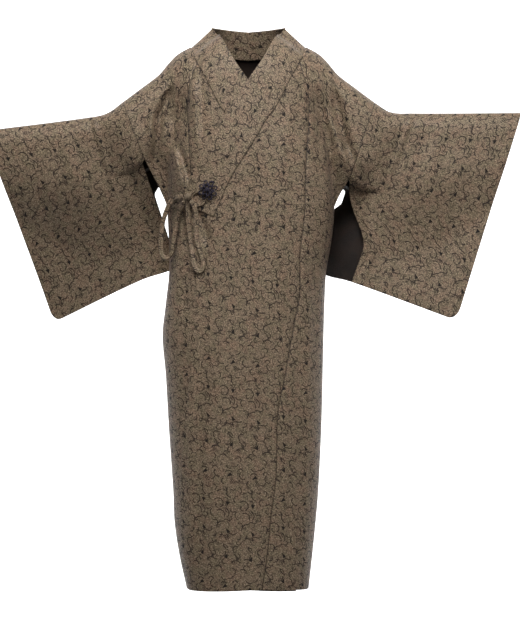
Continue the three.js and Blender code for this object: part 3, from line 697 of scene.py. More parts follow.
def shell_object(name, grid, uv, seams, cells=None, side=LEFT, turned=False):
    """A quad mesh from a grid with its own UV maps, its faces turned outwards."""
    rows, columns = grid.shape[:2]
    if cells is None:
        cells = np.ones((rows - 1, columns - 1), bool)
    ids = np.arange(rows * columns).reshape(rows, columns)
    corners = np.stack([ids[:-1, :-1], ids[1:, :-1], ids[1:, 1:], ids[:-1, 1:]], axis=-1)
    faces = corners[cells]
    if (side == LEFT) != turned:
        faces = faces[:, ::-1]
    points = grid.reshape(-1, 3)
    places = [len(set(tuple(np.round(points[i], 4)) for i in face)) for face in faces]
    faces = faces[np.array(places) > 2]
    used = np.unique(faces)
    number = np.full(rows * columns, -1)
    number[used] = np.arange(len(used))
    layers = {
        label: values.reshape(-1, 2)[faces.ravel()]
        for label, values in (("cloth", uv), ("seam", seams))
    }
    return link_mesh(name, points[used], number[faces].tolist(), layers)


def activate(piece):
    bpy.ops.object.select_all(action="DESELECT")
    piece.select_set(True)
    bpy.context.view_layer.objects.active = piece


def apply_modifier(piece, kind, name, **values):
    activate(piece)
    modifier = piece.modifiers.new(name, kind)
    for key, value in values.items():
        setattr(modifier, key, value)
    bpy.ops.object.modifier_apply(modifier=modifier.name)


EDGE_SHARE, EDGE_ANGLE = 0.3, 1.1


def finish_cloth(piece, thickness):
    """Gives a sheet its two faces and a softly rounded edge."""
    apply_modifier(
        piece, "SOLIDIFY", "cloth", thickness=thickness, offset=-1, use_rim=True, material_offset=1
    )
    apply_modifier(
        piece, "BEVEL", "edge", width=EDGE_SHARE * thickness, segments=2, limit_method="ANGLE",
        angle_limit=EDGE_ANGLE,
    )


def dress(piece, materials, node):
    for each in materials:
        piece.data.materials.append(each)
    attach(piece, "root")
    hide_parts(node)

# Chart of one repeat of the cloth, in millimetres across and down, angles with 90 pointing down.
# Thin curved strokes: centre across and down, radius, middle angle, half spread, width
REPEAT = (54.5, 246.0)
STROKES = [
    (53, 12, 8.6, 142, 85, 1.1),
    (76, 14, 9.3, -100, 52, 1.0),
    (13, 29, 6.3, 170, 84, 1.0),
    (4, 52, 16, -12, 34, 1.1),
    (29, 54, 9, 135, 48, 1.0),
    (33, 41, 5.8, 90, 60, 1.0),
    (62, 60, 10.5, -115, 30, 1.1),
    (58, 78, 10.2, -38, 104, 1.2),
    (57, 84, 4.5, 150, 84, 1.0),
    (17, 98, 11, -15, 62, 1.0),
    (9, 103, 9.8, -55, 76, 1.1),
    (23, 119, 7.2, -80, 62, 1.0),
    (17, 133, 16.2, -132, 46, 1.2),
    (37, 135, 8.4, 80, 48, 1.0),
    (48, 147, 6.2, 30, 78, 0.9),
    (12, 158, 10.5, -60, 56, 1.0),
    (30, 166, 13, 140, 40, 1.1),
    (46, 176, 7.6, -150, 92, 1.1),
    (14, 186, 8.8, 40, 66, 1.0),
    (36, 196, 11.4, -20, 48, 1.1),
    (21, 205, 5, 170, 96, 1.0),
    (47, 214, 13.8, -110, 34, 1.1),
    (8, 224, 7.4, -80, 70, 1.0),
    (31, 232, 9.6, 60, 46, 1.0),
    (40, 22, 6, 60, 70, 0.8),
    (44, 66, 7.5, -160, 80, 0.9),
    (19, 70, 5, -30, 90, 0.8),
    (36, 88, 6.5, 100, 70, 0.9),
    (50, 100, 9, 170, 60, 0.9),
    (30, 108, 4.5, 20, 100, 0.8),
    (52, 122, 6, -60, 80, 0.9),
    (6, 122, 4.2, 110, 90, 0.8),
    (30, 148, 5.2, -140, 95, 0.8),
    (4, 146, 8, 20, 60, 0.9),
    (50, 160, 5, 90, 90, 0.8),
    (20, 174, 5.5, -70, 80, 0.8),
    (2, 196, 7, 150, 70, 0.9),
    (50, 190, 5, 0, 100, 0.8),
    (14, 214, 5.5, -170, 85, 0.8),
    (40, 224, 6, -30, 80, 0.9),
    (22, 239, 7, 110, 60, 0.9),
    (46, 4, 5.5, -100, 90, 0.8),
    (44, 46, 7, -20, 70, 0.9),
    (16, 44, 4.5, 60, 100, 0.8),
]
# Solid drops: centre across and down, angle of the point, length, width
DROPS = [
    (22.0, 15, 140, 13, 8),
    (23.5, 77, 92, 9.5, 10),
    (24.5, 136, -125, 12, 8),
    (25.0, 192, -70, 12, 8.5),
]
# Leaves of close strokes: centre across and down, angle of the strokes, length, width
LEAVES = [
    (30, 27, 46, 14, 11),
    (20, 91, 50, 12, 8),
    (24, 150, 40, 13, 8),
    (40, 205, 55, 11, 8),
]

STROKE_BLUR = 1.05
LEAF_PITCH = 3.4
PLACE = {"Place": "Vector"}
# Scale of the slubs' noise across the cloth, down it and through it
STREAK = (30.0, 520.0, 30.0)


def linear(hexadecimal):
    """A linear colour from a hexadecimal one."""
    parts = [int(hexadecimal[i : i + 2], 16) / 255 for i in (0, 2, 4)]
    return tuple(c / 12.92 if c < 0.04 else ((c + 0.055) / 1.055) ** 2.4 for c in parts) + (1.0,)


def heading(degrees):
    turn = math.radians(degrees)
    return (math.cos(turn), math.sin(turn), 0.0)


class Nodes:
    """Short calls for building one node tree."""

    def __init__(self, tree):
        self.tree = tree

    def plug(self, socket, value):
        """Links a socket to another one, or gives it a plain value."""
        if isinstance(value, bpy.types.NodeSocket):
            self.tree.links.new(value, socket)
        else:
            socket.default_value = tuple(value) if hasattr(value, "__len__") else value

    def add(self, kind, inputs=None, **settings):
        node = self.tree.nodes.new(kind)
        for key, value in settings.items():
            setattr(node, key, value)
        for key, value in (inputs or {}).items():
            self.plug(node.inputs[key], value)
        return node

    def math(self, operation, a, b=0.0, c=0.0):
        return self.add("ShaderNodeMath", {0: a, 1: b, 2: c}, operation=operation).outputs[0]

    def times(self, a, b):
        return self.math("MULTIPLY", a, b)

    def vector(self, operation, a, b=(0, 0, 0), c=(0, 0, 0)):
        node = self.add("ShaderNodeVectorMath", {0: a, 1: b, 2: c}, operation=operation)
        return node.outputs["Value" if operation in ("DOT_PRODUCT", "LENGTH") else "Vector"]

    def scaled(self, value, factor):
        node = self.add("ShaderNodeVectorMath", {0: value, "Scale": factor}, operation="SCALE")
        return node.outputs["Vector"]

    def ramp(self, value, low, high):
        """1 where the value is at or under low, passing to 0 at high."""
        node = self.add(
            "ShaderNodeMapRange",
            {"Value": value, "From Min": low, "From Max": high, "To Min": 1.0, "To Max": 0.0},
            interpolation_type="SMOOTHSTEP",
        )
        return node.outputs["Result"]

    def mix(self, factor, a, b):
        return self.add("ShaderNodeMix", {0: factor, 6: a, 7: b}, data_type="RGBA").outputs[2]

    def noise(self, place, size, detail):
        inputs = {"Vector": place, "Scale": size, "Detail": detail}
        return self.add("ShaderNodeTexNoise", inputs).outputs


def make_group(name, inputs, outputs):
    """A shader group with inputs given by name and kind, and outputs that are numbers."""
    tree = bpy.data.node_groups.new(name, "ShaderNodeTree")
    for label, kind in inputs.items():
        tree.interface.new_socket(label, in_out="INPUT", socket_type="NodeSocket" + kind)
    for label in outputs:
        tree.interface.new_socket(label, in_out="OUTPUT", socket_type="NodeSocketFloat")
    start = tree.nodes.new("NodeGroupInput").outputs
    end = tree.nodes.new("NodeGroupOutput").inputs
    return Nodes(tree), start, end


def mark_group(name, directions, sizes, shape):
    """A group that draws one mark of the chart as a mask, at its nearest copy in the repeat."""
    inputs = {label: "Vector" for label in ("Place", "Centre", *directions)}
    inputs.update({label: "Float" for label in sizes})
    nodes, start, end = make_group(name, inputs, ["Mask"])
    half = [size / 2 for size in REPEAT] + [1.0]
    off = nodes.vector("SUBTRACT", start["Place"], start["Centre"])
    off = nodes.vector("WRAP", off, half, [-size for size in half])
    nodes.plug(end["Mask"], shape(nodes, off, start))
    return nodes.tree


def stroke_shape(nodes, off, start):
    """A thin curved stroke."""
    length = nodes.vector("LENGTH", off)
    ring = nodes.math("ABSOLUTE", nodes.math("SUBTRACT", length, start["Radius"]))
    half = nodes.times(start["Width"], 0.5)
    line = nodes.ramp(ring, half, nodes.math("ADD", half, STROKE_BLUR))
    turn = nodes.math("DIVIDE", nodes.vector("DOT_PRODUCT", off, start["Facing"]), length)
    past = nodes.math("SUBTRACT", start["Spread"], turn)
    return nodes.times(line, nodes.ramp(past, -0.03, 0.03))


def patch_place(nodes, off, start):
    """Where a point lies along and across a patch, as shares of it, and how far across."""
    forward = nodes.vector("DOT_PRODUCT", off, start["Facing"])
    sideways = nodes.vector("DOT_PRODUCT", off, start["Across"])
    along_share = nodes.math("DIVIDE", forward, start["Length"])
    return along_share, nodes.math("DIVIDE", sideways, start["Width"]), sideways


def drop_shape(nodes, off, start):
    """A solid drop that ends in a point."""
    forward, sideways, _ = patch_place(nodes, off, start)
    room = nodes.times(nodes.math("SUBTRACT", 0.5, forward), 0.5)
    past = nodes.math("SUBTRACT", nodes.math("ABSOLUTE", sideways), room)
    back = nodes.ramp(nodes.times(forward, -1.0), 0.42, 0.52)
    return nodes.times(nodes.ramp(past, -0.02, 0.05), back)


def leaf_shape(nodes, off, start):
    """A leaf hatched with close strokes."""
    forward, sideways, across = patch_place(nodes, off, start)
    inside = nodes.math("ADD", nodes.times(forward, forward), nodes.times(sideways, sideways))
    wave = nodes.math("SINE", nodes.times(across, 2 * math.pi / LEAF_PITCH))
    lines = nodes.ramp(nodes.times(wave, -1.0), -0.35, 0.15)
    return nodes.times(nodes.ramp(inside, 0.2, 0.27), lines)


def stroke_values(radius, angle, spread_by, width):
    reach = math.cos(math.radians(spread_by))
    return {"Radius": radius, "Facing": heading(angle), "Spread": reach, "Width": width}


def patch_values(angle, length, width):
    across = heading(angle + 90)
    return {"Facing": heading(angle), "Across": across, "Length": length, "Width": width}


def pattern_group():
    """The whole repeat of the jacquard: thin strokes and solid drops as two masks."""
    nodes, start, end = make_group("jacquard repeat", PLACE, ["Strokes", "Drops"])
    place = nodes.scaled(start["Place"], 1 / MM)
    stroke = mark_group("curved stroke", ["Facing"], ["Radius", "Spread", "Width"], stroke_shape)
    patch = (["Facing", "Across"], ["Length", "Width"])
    leaf = mark_group("hatched leaf", *patch, leaf_shape)
    drop = mark_group("solid drop", *patch, drop_shape)
    totals = {"Strokes": 0.0, "Drops": 0.0}
    for label, tree, values, rows in (
        ("Strokes", stroke, stroke_values, STROKES),
        ("Strokes", leaf, patch_values, LEAVES),
        ("Drops", drop, patch_values, DROPS),
    ):
        for x, y, *shape in rows:
            centre = (x % REPEAT[0], y % REPEAT[1], 0.0)
            inputs = {"Place": place, "Centre": centre, **values(*shape)}
            mask = nodes.add("ShaderNodeGroup", inputs, node_tree=tree).outputs["Mask"]
            totals[label] = nodes.math("MAXIMUM", totals[label], mask)
    for label, total in totals.items():
        nodes.plug(end[label], total)
    return nodes.tree


def weave_group():
    """Fine crossing threads: their height, and a tone that runs lengthways through the cloth."""
    nodes, start, end = make_group("weave", {**PLACE, "Pitch": "Float"}, ["Height", "Tone"])
    parts = nodes.add("ShaderNodeSeparateXYZ", {0: start["Place"]}).outputs
    turns = nodes.math("DIVIDE", 2 * math.pi, start["Pitch"])
    ways = (parts["X"], parts["Y"], nodes.math("ADD", parts["X"], parts["Y"]))
    warp, weft, twill = (nodes.math("SINE", nodes.times(way, turns)) for way in ways)
    height = nodes.times(nodes.math("ADD", nodes.times(warp, weft), twill), 0.5)
    streak = nodes.vector("MULTIPLY", start["Place"], STREAK)
    nodes.plug(end["Height"], height)
    nodes.plug(end["Tone"], nodes.noise(streak, 1.0, 3.0)["Fac"])
    return nodes.tree


# Changes of colour over the cloth: name, size of the noise, its detail, and its low and high
MOTTLES = [
    ("Warm", 26.0, 3.0, 0.42, 0.62),
    ("Green", 47.0, 3.0, 0.44, 0.6),
    ("Speck", 340.0, 2.0, 0.38, 0.6),
    # Glint: pale specks, partly pale threads and partly painted glints of the silk
    ("Glint", 390.0, 1.0, 0.5, 0.68),
]


def mottle_group():
    """Slow and quick changes of colour over the cloth, as factors from 0 to 1; the Glint factor
    places pale specks that are partly painted glints.
    """
    nodes, start, end = make_group("mottle", PLACE, [name for name, *_ in MOTTLES])
    for name, size, detail, low, high in MOTTLES:
        under = nodes.ramp(nodes.noise(start["Place"], size, detail)["Fac"], low, high)
        nodes.plug(end[name], nodes.math("SUBTRACT", 1.0, under))
    return nodes.tree


# Fine curls: how many a metre, how far they wander, and how often they break off
CURLS, CURL_BENDS, CURL_WANDER, CURL_GAPS = 105.0, 60.0, 12 * MM, 130.0


def curl_group():
    """Fine broken curls of dark thread between the strokes, as a mask."""
    nodes, start, end = make_group("fine curls", PLACE, ["Mask"])
    bend = nodes.noise(start["Place"], CURL_BENDS, 1.0)["Color"]
    place = nodes.vector("ADD", start["Place"], nodes.scaled(bend, CURL_WANDER))
    cells = nodes.add(
        "ShaderNodeTexVoronoi", {"Vector": place, "Scale": CURLS}, feature="DISTANCE_TO_EDGE"
    )
    lines = nodes.ramp(cells.outputs["Distance"], 0.03, 0.12)
    broken = nodes.ramp(nodes.noise(start["Place"], CURL_GAPS, 1.0)["Fac"], 0.44, 0.54)
    nodes.plug(end["Mask"], nodes.times(lines, broken))
    return nodes.tree


MADE = {}


def once(name, maker):
    """Makes a group or material the first time, and gives the same one after that."""
    if name not in MADE:
        MADE[name] = maker()
    return MADE[name]


def use_group(nodes, maker, place, **values):
    tree = once(maker.__name__, maker)
    return nodes.add("ShaderNodeGroup", {"Place": place, **values}, node_tree=tree).outputs


def new_material(name):
    fresh = bpy.data.materials.new(name)
    fresh.use_nodes = True
    fresh.node_tree.nodes.clear()
    nodes = Nodes(fresh.node_tree)
    shader = nodes.add("ShaderNodeBsdfPrincipled")
    nodes.add("ShaderNodeOutputMaterial", {"Surface": shader.outputs[0]})
    return fresh, nodes, shader


def finish_shader(nodes, shader, color, rough, bump, sheen, specular):
    """Gives a shader its colour, roughness, bump (height, distance, strength) and sheen."""
    height, distance, strength = bump
    inputs = {"Height": height, "Distance": distance, "Strength": strength}
    values = {
        "Base Color": color,
        "Roughness": rough,
        "Normal": nodes.add("ShaderNodeBump", inputs).outputs["Normal"],
        "Sheen Weight": sheen[0],
        "Sheen Tint": sheen[1],
        "Sheen Roughness": sheen[2],
        "Specular IOR Level": specular,
    }
    for label, value in values.items():
        nodes.plug(shader.inputs[label], value)


# Painted shade along the seams: the colour is fully darkened within the first distance of a sewn
# edge and fades out by the second, by the last share
SEAM_SHADE_FROM, SEAM_SHADE_TO, SEAM_SHADE_DARKNESS = 0.3 * MM, 2.2 * MM, 0.55


def jacquard_material(settings):
    """The outer side: patterned ground, dark strokes and drops, fine weave, slow mottling, pale
    specks that are partly painted glints, and painted shade along the seams.
    """
    cloth, nodes, shader = new_material("jacquard cloth")
    place = nodes.add("ShaderNodeUVMap", uv_map="cloth").outputs[0]
    pattern = use_group(nodes, pattern_group, place)
    weave = use_group(nodes, weave_group, place, Pitch=settings.thread_pitch)
    mottle = use_group(nodes, mottle_group, place)
    curls = use_group(nodes, curl_group, place)
    away = nodes.add("ShaderNodeUVMap", uv_map="seam").outputs[0]
    away = nodes.add("ShaderNodeSeparateXYZ", {0: away}).outputs["X"]
    layers = [
        (mottle["Warm"], 1.0, settings.ground_warm),
        (mottle["Green"], 0.7, settings.ground_green),
        (mottle["Speck"], 0.72, settings.ground_dark),
        # Pale specks: partly pale threads, partly painted glints of the silk
        (mottle["Glint"], 0.62, settings.ground_threads_and_glint),
        (curls["Mask"], 0.6, settings.motif),
        (weave["Tone"], 0.35, settings.ground_dark),
        (nodes.ramp(weave["Height"], -0.9, 0.3), 0.22, settings.ground_dark),
        (pattern["Strokes"], settings.stroke_strength, settings.motif),
        (pattern["Drops"], 0.97, settings.motif_dark),
        # Painted shade: a thin dark line along each sewn edge, in the drops' colour
        (nodes.ramp(away, SEAM_SHADE_FROM, SEAM_SHADE_TO), SEAM_SHADE_DARKNESS, settings.motif_dark),
    ]
    color = settings.ground
    for mask, strength, tone in layers:
        color = nodes.mix(nodes.times(mask, strength), color, tone)
    marks = nodes.math("MAXIMUM", pattern["Strokes"], pattern["Drops"])
    rough = nodes.math("MULTIPLY_ADD", marks, 0.16, 0.56)
    height = nodes.math("MULTIPLY_ADD", weave["Height"], 0.4, nodes.times(marks, -0.7))
    sheen = (settings.sheen, settings.sheen_tint, 0.45)
    finish_shader(nodes, shader, color, rough, (height, 0.15 * MM, 0.6), sheen, 0.25)
    return cloth


def plain_material(name, color, dark, settings, use_uv=True, pitch=None, sheen=0.04):
    """Plain woven cloth of one colour with a little variation."""
    cloth, nodes, shader = new_material(name)
    if use_uv:
        place = nodes.add("ShaderNodeUVMap", uv_map="cloth").outputs[0]
    else:
        place = nodes.add("ShaderNodeTexCoord").outputs["Object"]
    weave = use_group(nodes, weave_group, place, Pitch=pitch or settings.thread_pitch)
    mottle = use_group(nodes, mottle_group, place)
    base = nodes.mix(nodes.times(mottle["Warm"], 0.5), color, dark)
    threads = nodes.ramp(weave["Height"], -0.8, 0.4)
    base = nodes.mix(nodes.times(threads, 0.35), base, dark)
    rough = nodes.math("MULTIPLY_ADD", weave["Tone"], 0.2, 0.55)
    bump = (weave["Height"], 0.2 * MM, 0.7)
    finish_shader(nodes, shader, base, rough, bump, (sheen, settings.sheen_tint, 0.4), 0.2)
    return cloth


FLOWER_PITCH, FLOWER_SHEEN = 1.6 * MM, 0.35


def material(name):
    cloth = bpy.context.scene.coat_cloth
    dark = cloth.motif_dark
    makers = {
        "jacquard": lambda: jacquard_material(cloth),
        # The inner face's very dark tone is partly painted shade for the shadow inside the sleeves
        # and body
        "inside": lambda: plain_material("inside of the cloth with painted shade", cloth.inside, dark, cloth),
        "knot": lambda: plain_material("knot cloth", cloth.tie, cloth.ground_dark, cloth, False),
        "flower": lambda: plain_material(
            "dark cord", cloth.flower, dark, cloth, False, FLOWER_PITCH, FLOWER_SHEEN
        ),
    }
    return once(name, makers[name])

# Tie of the coat: folded bands of its own cloth, in millimetres. Rows hold x, z, how far the
# band stands off the front, or else its own y where it hangs clear of the front.
TIE_WIDE = 8
# How flat a band is pressed, how broad each is for its thickness, and its middle groove
TIE_FULL = 1.05
TIE_BROAD, RING_BROAD = 1.3, 0.95
TIE_GROOVE, GROOVE_WIDE = 0.42, 0.4
OWN_Y = None
SIDE_LOOP = [
    (-143.3, -385.4, 22.6, OWN_Y),
    (-154, -385, 21, OWN_Y),
    (-166, -390, 0, -84),
    (-175, -401, 0, -80),
    (-181, -415, 0, -76),
    (-187, -433, 0, -72),
    (-191, -453, 0, -68),
    (-193, -478, 0, -65),
    (-193, -502, 0, -63),
    (-188, -515, 0, -63),
    (-180, -517, 0, -65),
    (-170, -508, 0, -69),
    (-165, -482, 0, -74),
    (-160, -452, 0, -79),
    (-154, -424, 0, -88),
    (-139.4, -394.6, 18, OWN_Y),
]
FRONT_LOOP = [
    (-132, -395.2, 13.5, OWN_Y),
    (-132, -410, 7, OWN_Y),
    (-131, -428, 5, OWN_Y),
    (-130, -450, 4, OWN_Y),
    (-126, -485, 4, OWN_Y),
    (-122, -511, 4, OWN_Y),
    (-118, -534, 4.5, OWN_Y),
    (-111, -547, 5, OWN_Y),
    (-102, -546, 5, OWN_Y),
    (-98, -535, 4.5, OWN_Y),
    (-101, -520, 4.2, OWN_Y),
    (-107, -498, 4, OWN_Y),
    (-112, -482, 4, OWN_Y),
    (-114, -443, 4, OWN_Y),
    (-115, -415, 6, OWN_Y),
    (-125.4, -393.4, 13.4, OWN_Y),
]
SIDE_TIE = [
    (-172.6, -397, 0, -59.4),
    (-163, -396, 8, OWN_Y),
    (-150, -393, 10, OWN_Y),
    (-140.4, -390, 17.5, OWN_Y),
]
RING_X, RING_Z, RING_RADIUS, RING_PROUD = -109, -389, 15, 4.2
RING_STEPS = 14
RING_TURNS = [0.35 + 1.9 * math.pi * i / RING_STEPS for i in range(RING_STEPS + 1)]
RING = [
    (RING_X + RING_RADIUS * math.cos(a), RING_Z + RING_RADIUS * math.sin(a), RING_PROUD, OWN_Y)
    for a in RING_TURNS
]
FLOWER_X, FLOWER_Z, FLOWER_PROUD = -88, -372, 9.2
BOW_X, BOW_Z, BOW_PROUD = -132, -386, 15.6
ROOT_X, ROOT_Z, ROOT_PROUD = -176, -397, 8
TUBE_SIDES = 20
TUBE_STEP = 1.6
CURVE_STEPS = 24
FEWEST_STEPS = 8


def on_front(x, z, proud):
    point = skin(LEFT, np.array([float(x)]), np.array([float(z)]), FRONT)[0][0]
    point[1] -= proud
    return point


def route_points(route):
    return [
        on_front(x, z, proud) if y is OWN_Y else np.array([x, y, z], float)
        for x, z, proud, y in route
    ]


def lengths_along(line):
    return np.concatenate([[0], np.cumsum(np.linalg.norm(np.diff(line, axis=0), axis=1))])


def smooth_route(points, step):
    """A centripetal curve through the points, evenly resampled."""
    first = 2 * points[0] - points[1]
    last = 2 * points[-1] - points[-2]
    ends = [first, *points, last]
    line = []
    for p0, p1, p2, p3 in zip(ends, ends[1:], ends[2:], ends[3:]):
        spans = (p1 - p0, p2 - p1, p3 - p2)
        d0, d1, d2 = (max(np.linalg.norm(span) ** 0.5, 1e-4) for span in spans)
        t1 = (p1 - p0) / d0 - (p2 - p0) / (d0 + d1) + (p2 - p1) / d1
        t2 = (p2 - p1) / d1 - (p3 - p1) / (d1 + d2) + (p3 - p2) / d2
        t1, t2 = t1 * d1, t2 * d1
        square, cube = 3 * (p2 - p1) - 2 * t1 - t2, 2 * (p1 - p2) + t1 + t2
        for t in np.linspace(0, 1, CURVE_STEPS, endpoint=False):
            line.append(p1 + t1 * t + square * t**2 + cube * t**3)
    line.append(points[-1])
    line = np.array(line)
    lengths = lengths_along(line)
    count = max(int(round(lengths[-1] / step)), FEWEST_STEPS)
    at = np.linspace(0, lengths[-1], count + 1)
    return np.stack([np.interp(at, lengths, line[:, i]) for i in range(3)], axis=-1), lengths[-1]


# Where a band runs level enough, it turns flat by this share a step. Its ends close to the
# root of the last value.
LEVEL_ENOUGH, LEVEL_SHARE = 0.4, 0.3
END_LEAST = 0.16


def tube_object(name, line, radius, broadness):
    """A soft folded band along a line, with its own UV map in metres and closed ends."""
    tangents = unit(np.gradient(line, axis=0))
    normal = unit(np.cross(tangents[0], (0.0, 1.0, 0.0)) + (1e-6, 0, 0))
    frames = []
    for tangent in tangents:
        level = np.cross(tangent, (0.0, 1.0, 0.0))
        if np.linalg.norm(level) > LEVEL_ENOUGH:
            same_way = 1 if np.dot(level, normal) > 0 else -1
            normal = lerp(normal, unit(level) * same_way, LEVEL_SHARE)
        normal = unit(normal - np.dot(normal, tangent) * tangent)
        frames.append((normal, np.cross(tangent, normal)))
    angles = np.linspace(0, 2 * math.pi, TUBE_SIDES, endpoint=False)
    places = lengths_along(line)
    rings = []
    for point, (a, b), s in zip(line, frames, places):
        closing = min(s, places[-1] - s)
        round_off = math.sqrt(max(END_LEAST, 1 - max(0, 1 - closing / radius) ** 2))
        uneven = 1 + 0.06 * math.sin(s / 17) + 0.04 * math.sin(s / 5.3)
        groove = 1 - TIE_GROOVE * np.exp(-((np.cos(angles) / GROOVE_WIDE) ** 2))
        broad = broadness * uneven * np.cos(angles)[:, None] * a
        flat = (groove * np.sin(angles) / (broadness * TIE_FULL))[:, None] * b
        rings.append(point + radius * round_off * (broad + flat))
    count = len(rings)
    faces, uvs = [], []
    girth = 2 * math.pi * radius
    for i in range(count - 1):
        for j in range(TUBE_SIDES):
            k = (j + 1) % TUBE_SIDES
            ring, after = i * TUBE_SIDES, (i + 1) * TUBE_SIDES
            faces.append((ring + j, ring + k, after + k, after + j))
            u0, u1 = j / TUBE_SIDES * girth * MM, (j + 1) / TUBE_SIDES * girth * MM
            v0, v1 = places[i] * MM, places[i + 1] * MM
            uvs.append(((u0, v0), (u1, v0), (u1, v1), (u0, v1)))
    faces.append(tuple(range(TUBE_SIDES - 1, -1, -1)))
    faces.append(tuple((count - 1) * TUBE_SIDES + j for j in range(TUBE_SIDES)))
    for _ in range(2):
        uvs.append(tuple((math.cos(a) * radius * MM, math.sin(a) * radius * MM) for a in angles))
    corners = np.array([corner for face in uvs for corner in face])
    layers = {"cloth": corners, "seam": np.full(corners.shape, NO_SEAM)}
    piece = link_mesh(name, np.concatenate(rings), faces, layers)
    activate(piece)
    bpy.ops.object.mode_set(mode="EDIT")
    bpy.ops.mesh.select_all(action="SELECT")
    bpy.ops.mesh.normals_make_consistent(inside=False)
    bpy.ops.object.mode_set(mode="OBJECT")
    return piece


def make_cord(name, route, node, broadness=TIE_BROAD):
    line, length = smooth_route(route_points(route), TUBE_STEP)
    radius = bpy.context.scene.coat_tie.diameter / 2 / MM
    piece = tube_object(name, line, radius, broadness)
    dress(piece, [material("jacquard")], node)


def primitive_torus(place, turn, major, minor, squash=1.0):
    bpy.ops.object.select_all(action="DESELECT")
    bpy.ops.mesh.primitive_torus_add(
        location=tuple(np.array(place) * MM),
        rotation=turn,
        major_segments=40,
        minor_segments=14,
        major_radius=major * MM,
        minor_radius=minor * MM,
    )
    ring = bpy.context.object
    ring.scale = (1, squash, 1)
    bpy.ops.object.transform_apply(location=True, rotation=True, scale=True)
    return ring


def primitive_ball(place, radii):
    bpy.ops.object.select_all(action="DESELECT")
    bpy.ops.mesh.primitive_uv_sphere_add(
        location=tuple(np.array(place) * MM), radius=MM, segments=32, ring_count=18
    )
    ball = bpy.context.object
    ball.scale = radii
    bpy.ops.object.transform_apply(location=True, rotation=True, scale=True)
    return ball


def join_pieces(name, parts):
    bpy.ops.object.select_all(action="DESELECT")
    for part in parts:
        part.select_set(True)
    bpy.context.view_layer.objects.active = parts[0]
    bpy.ops.object.join()
    joined = bpy.context.object
    joined.name = name
    joined.data.name = name
    return joined


def fuse_soft(piece, voxel, smooth):
    """Melts wound turns of cord into one closed skin and softens it."""
    apply_modifier(piece, "REMESH", "skin", mode="VOXEL", voxel_size=voxel * MM)
    apply_modifier(piece, "SMOOTH", "soft", factor=0.5, iterations=smooth)
    activate(piece)
    bpy.ops.object.shade_smooth()


# Direction of the spiral grooves of twisted cord, in radians a millimetre
TWIST = (0.95, 0.8, 0.6)


def add_twist(piece, centre, cut):
    """Presses shallow spiral grooves into a knot so that its turns read as twisted cord."""
    vertices = piece.data.vertices
    points = np.empty((len(vertices), 3))
    normals = np.empty((len(vertices), 3))
    vertices.foreach_get("co", points.ravel())
    vertices.foreach_get("normal", normals.ravel())
    turn = np.sin((points / MM - centre) @ TWIST)
    points += normals * (cut * MM * turn)[:, None]
    vertices.foreach_set("co", points.ravel())
    piece.data.update()


# Turns of the bow knot: how far across, tilt and radius
BOW_TURNS = [(-3.2, 0.25, 6.4), (0.6, -0.15, 6.9), (4.2, 0.35, 6.0)]


def make_bow_knot():
    centre = on_front(BOW_X, BOW_Z, BOW_PROUD)
    parts = [primitive_ball(centre, (8.2, 5.4, 7.0))]
    for dx, tilt, major in BOW_TURNS:
        place = centre + np.array([dx, 0, 0.4 * dx])
        parts.append(primitive_torus(place, (0.0, math.pi / 2 + tilt, 0.0), major, 2.3, 0.82))
    knot = join_pieces("bow_knot", parts)
    fuse_soft(knot, 0.45, 3)
    dress(knot, [material("knot")], "tie_bow_knot")


def make_side_knot():
    centre = on_front(ROOT_X, ROOT_Z, ROOT_PROUD)
    parts = [primitive_ball(centre, (4.4, 3.9, 4.0))]
    parts.append(primitive_torus(centre, (0.2, math.pi / 2, 0.4), 3.6, 1.9))
    parts.append(primitive_torus(centre, (math.pi / 2, 0.3, 0.2), 3.4, 1.8))
    knot = join_pieces("side_knot", parts)
    fuse_soft(knot, 0.4, 2)
    dress(knot, [material("knot")], "tie_side_knot")


# Rings of petals: how many fewer than the outer ring, reach, loop, cord and lift
PETAL_RINGS = [(0, 15.4, 6.0, 1.6, -0.6), (2, 8.8, 4.4, 1.45, 2.6)]
PETAL_SHIFT = 0.35


def make_flower():
    """The ornamental knot: two rings of looped petals of cord round a wound button."""
    centre = on_front(FLOWER_X, FLOWER_Z, FLOWER_PROUD)
    face = skin(LEFT, np.array([float(FLOWER_X)]), np.array([float(FLOWER_Z)]), FRONT)[1][0]
    turn = Vector((0, 0, 1)).rotation_difference(Vector(face.tolist())).to_matrix()
    parts = []
    for fewer, reach, loop, minor, lift in PETAL_RINGS:
        count = bpy.context.scene.coat_tie.petals - fewer
        for i in range(count):
            angle = 2 * math.pi * (i + PETAL_SHIFT * (fewer > 0)) / count
            off = Vector((reach * math.cos(angle), reach * math.sin(angle), lift))
            place = centre + np.array(turn @ off)
            petal = primitive_torus((0, 0, 0), (0, 0, 0), loop, minor, 0.72)
            spin = turn.to_4x4() @ turned(angle, 0.35 if lift > 0 else -0.2)
            petal.data.transform(spin)
            petal.data.transform(moved(place * MM))
            parts.append(petal)
    parts.append(primitive_ball(centre + face * 2.6, (4.4, 4.4, 4.4)))
    for tilt in (0.4, 1.6, 2.7):
        ring = primitive_torus((0, 0, 0), (0, 0, 0), 4.1, 1.2)
        ring.data.transform(turn.to_4x4() @ turned(tilt, 1.1))
        ring.data.transform(moved((centre + face * 2.4) * MM))
        parts.append(ring)
    flower = join_pieces("flower_knot", parts)
    fuse_soft(flower, 0.33, 1)
    add_twist(flower, centre, 0.16)
    dress(flower, [material("flower")], "tie_flower")


def turned(angle, tilt):
    """Turns a flat ring so that its long way points outwards, then tips it up."""
    outwards = Matrix.Rotation(angle, 4, "Z")
    return outwards @ Matrix.Rotation(-tilt, 4, "Y")


def moved(place):
    return Matrix.Translation(Vector([float(value) for value in place]))


def tone(name, description, value):
    return bpy.props.FloatVectorProperty(
        name=name, description=description, subtype="COLOR", size=4, default=linear(value),
        min=0, max=1,
    )


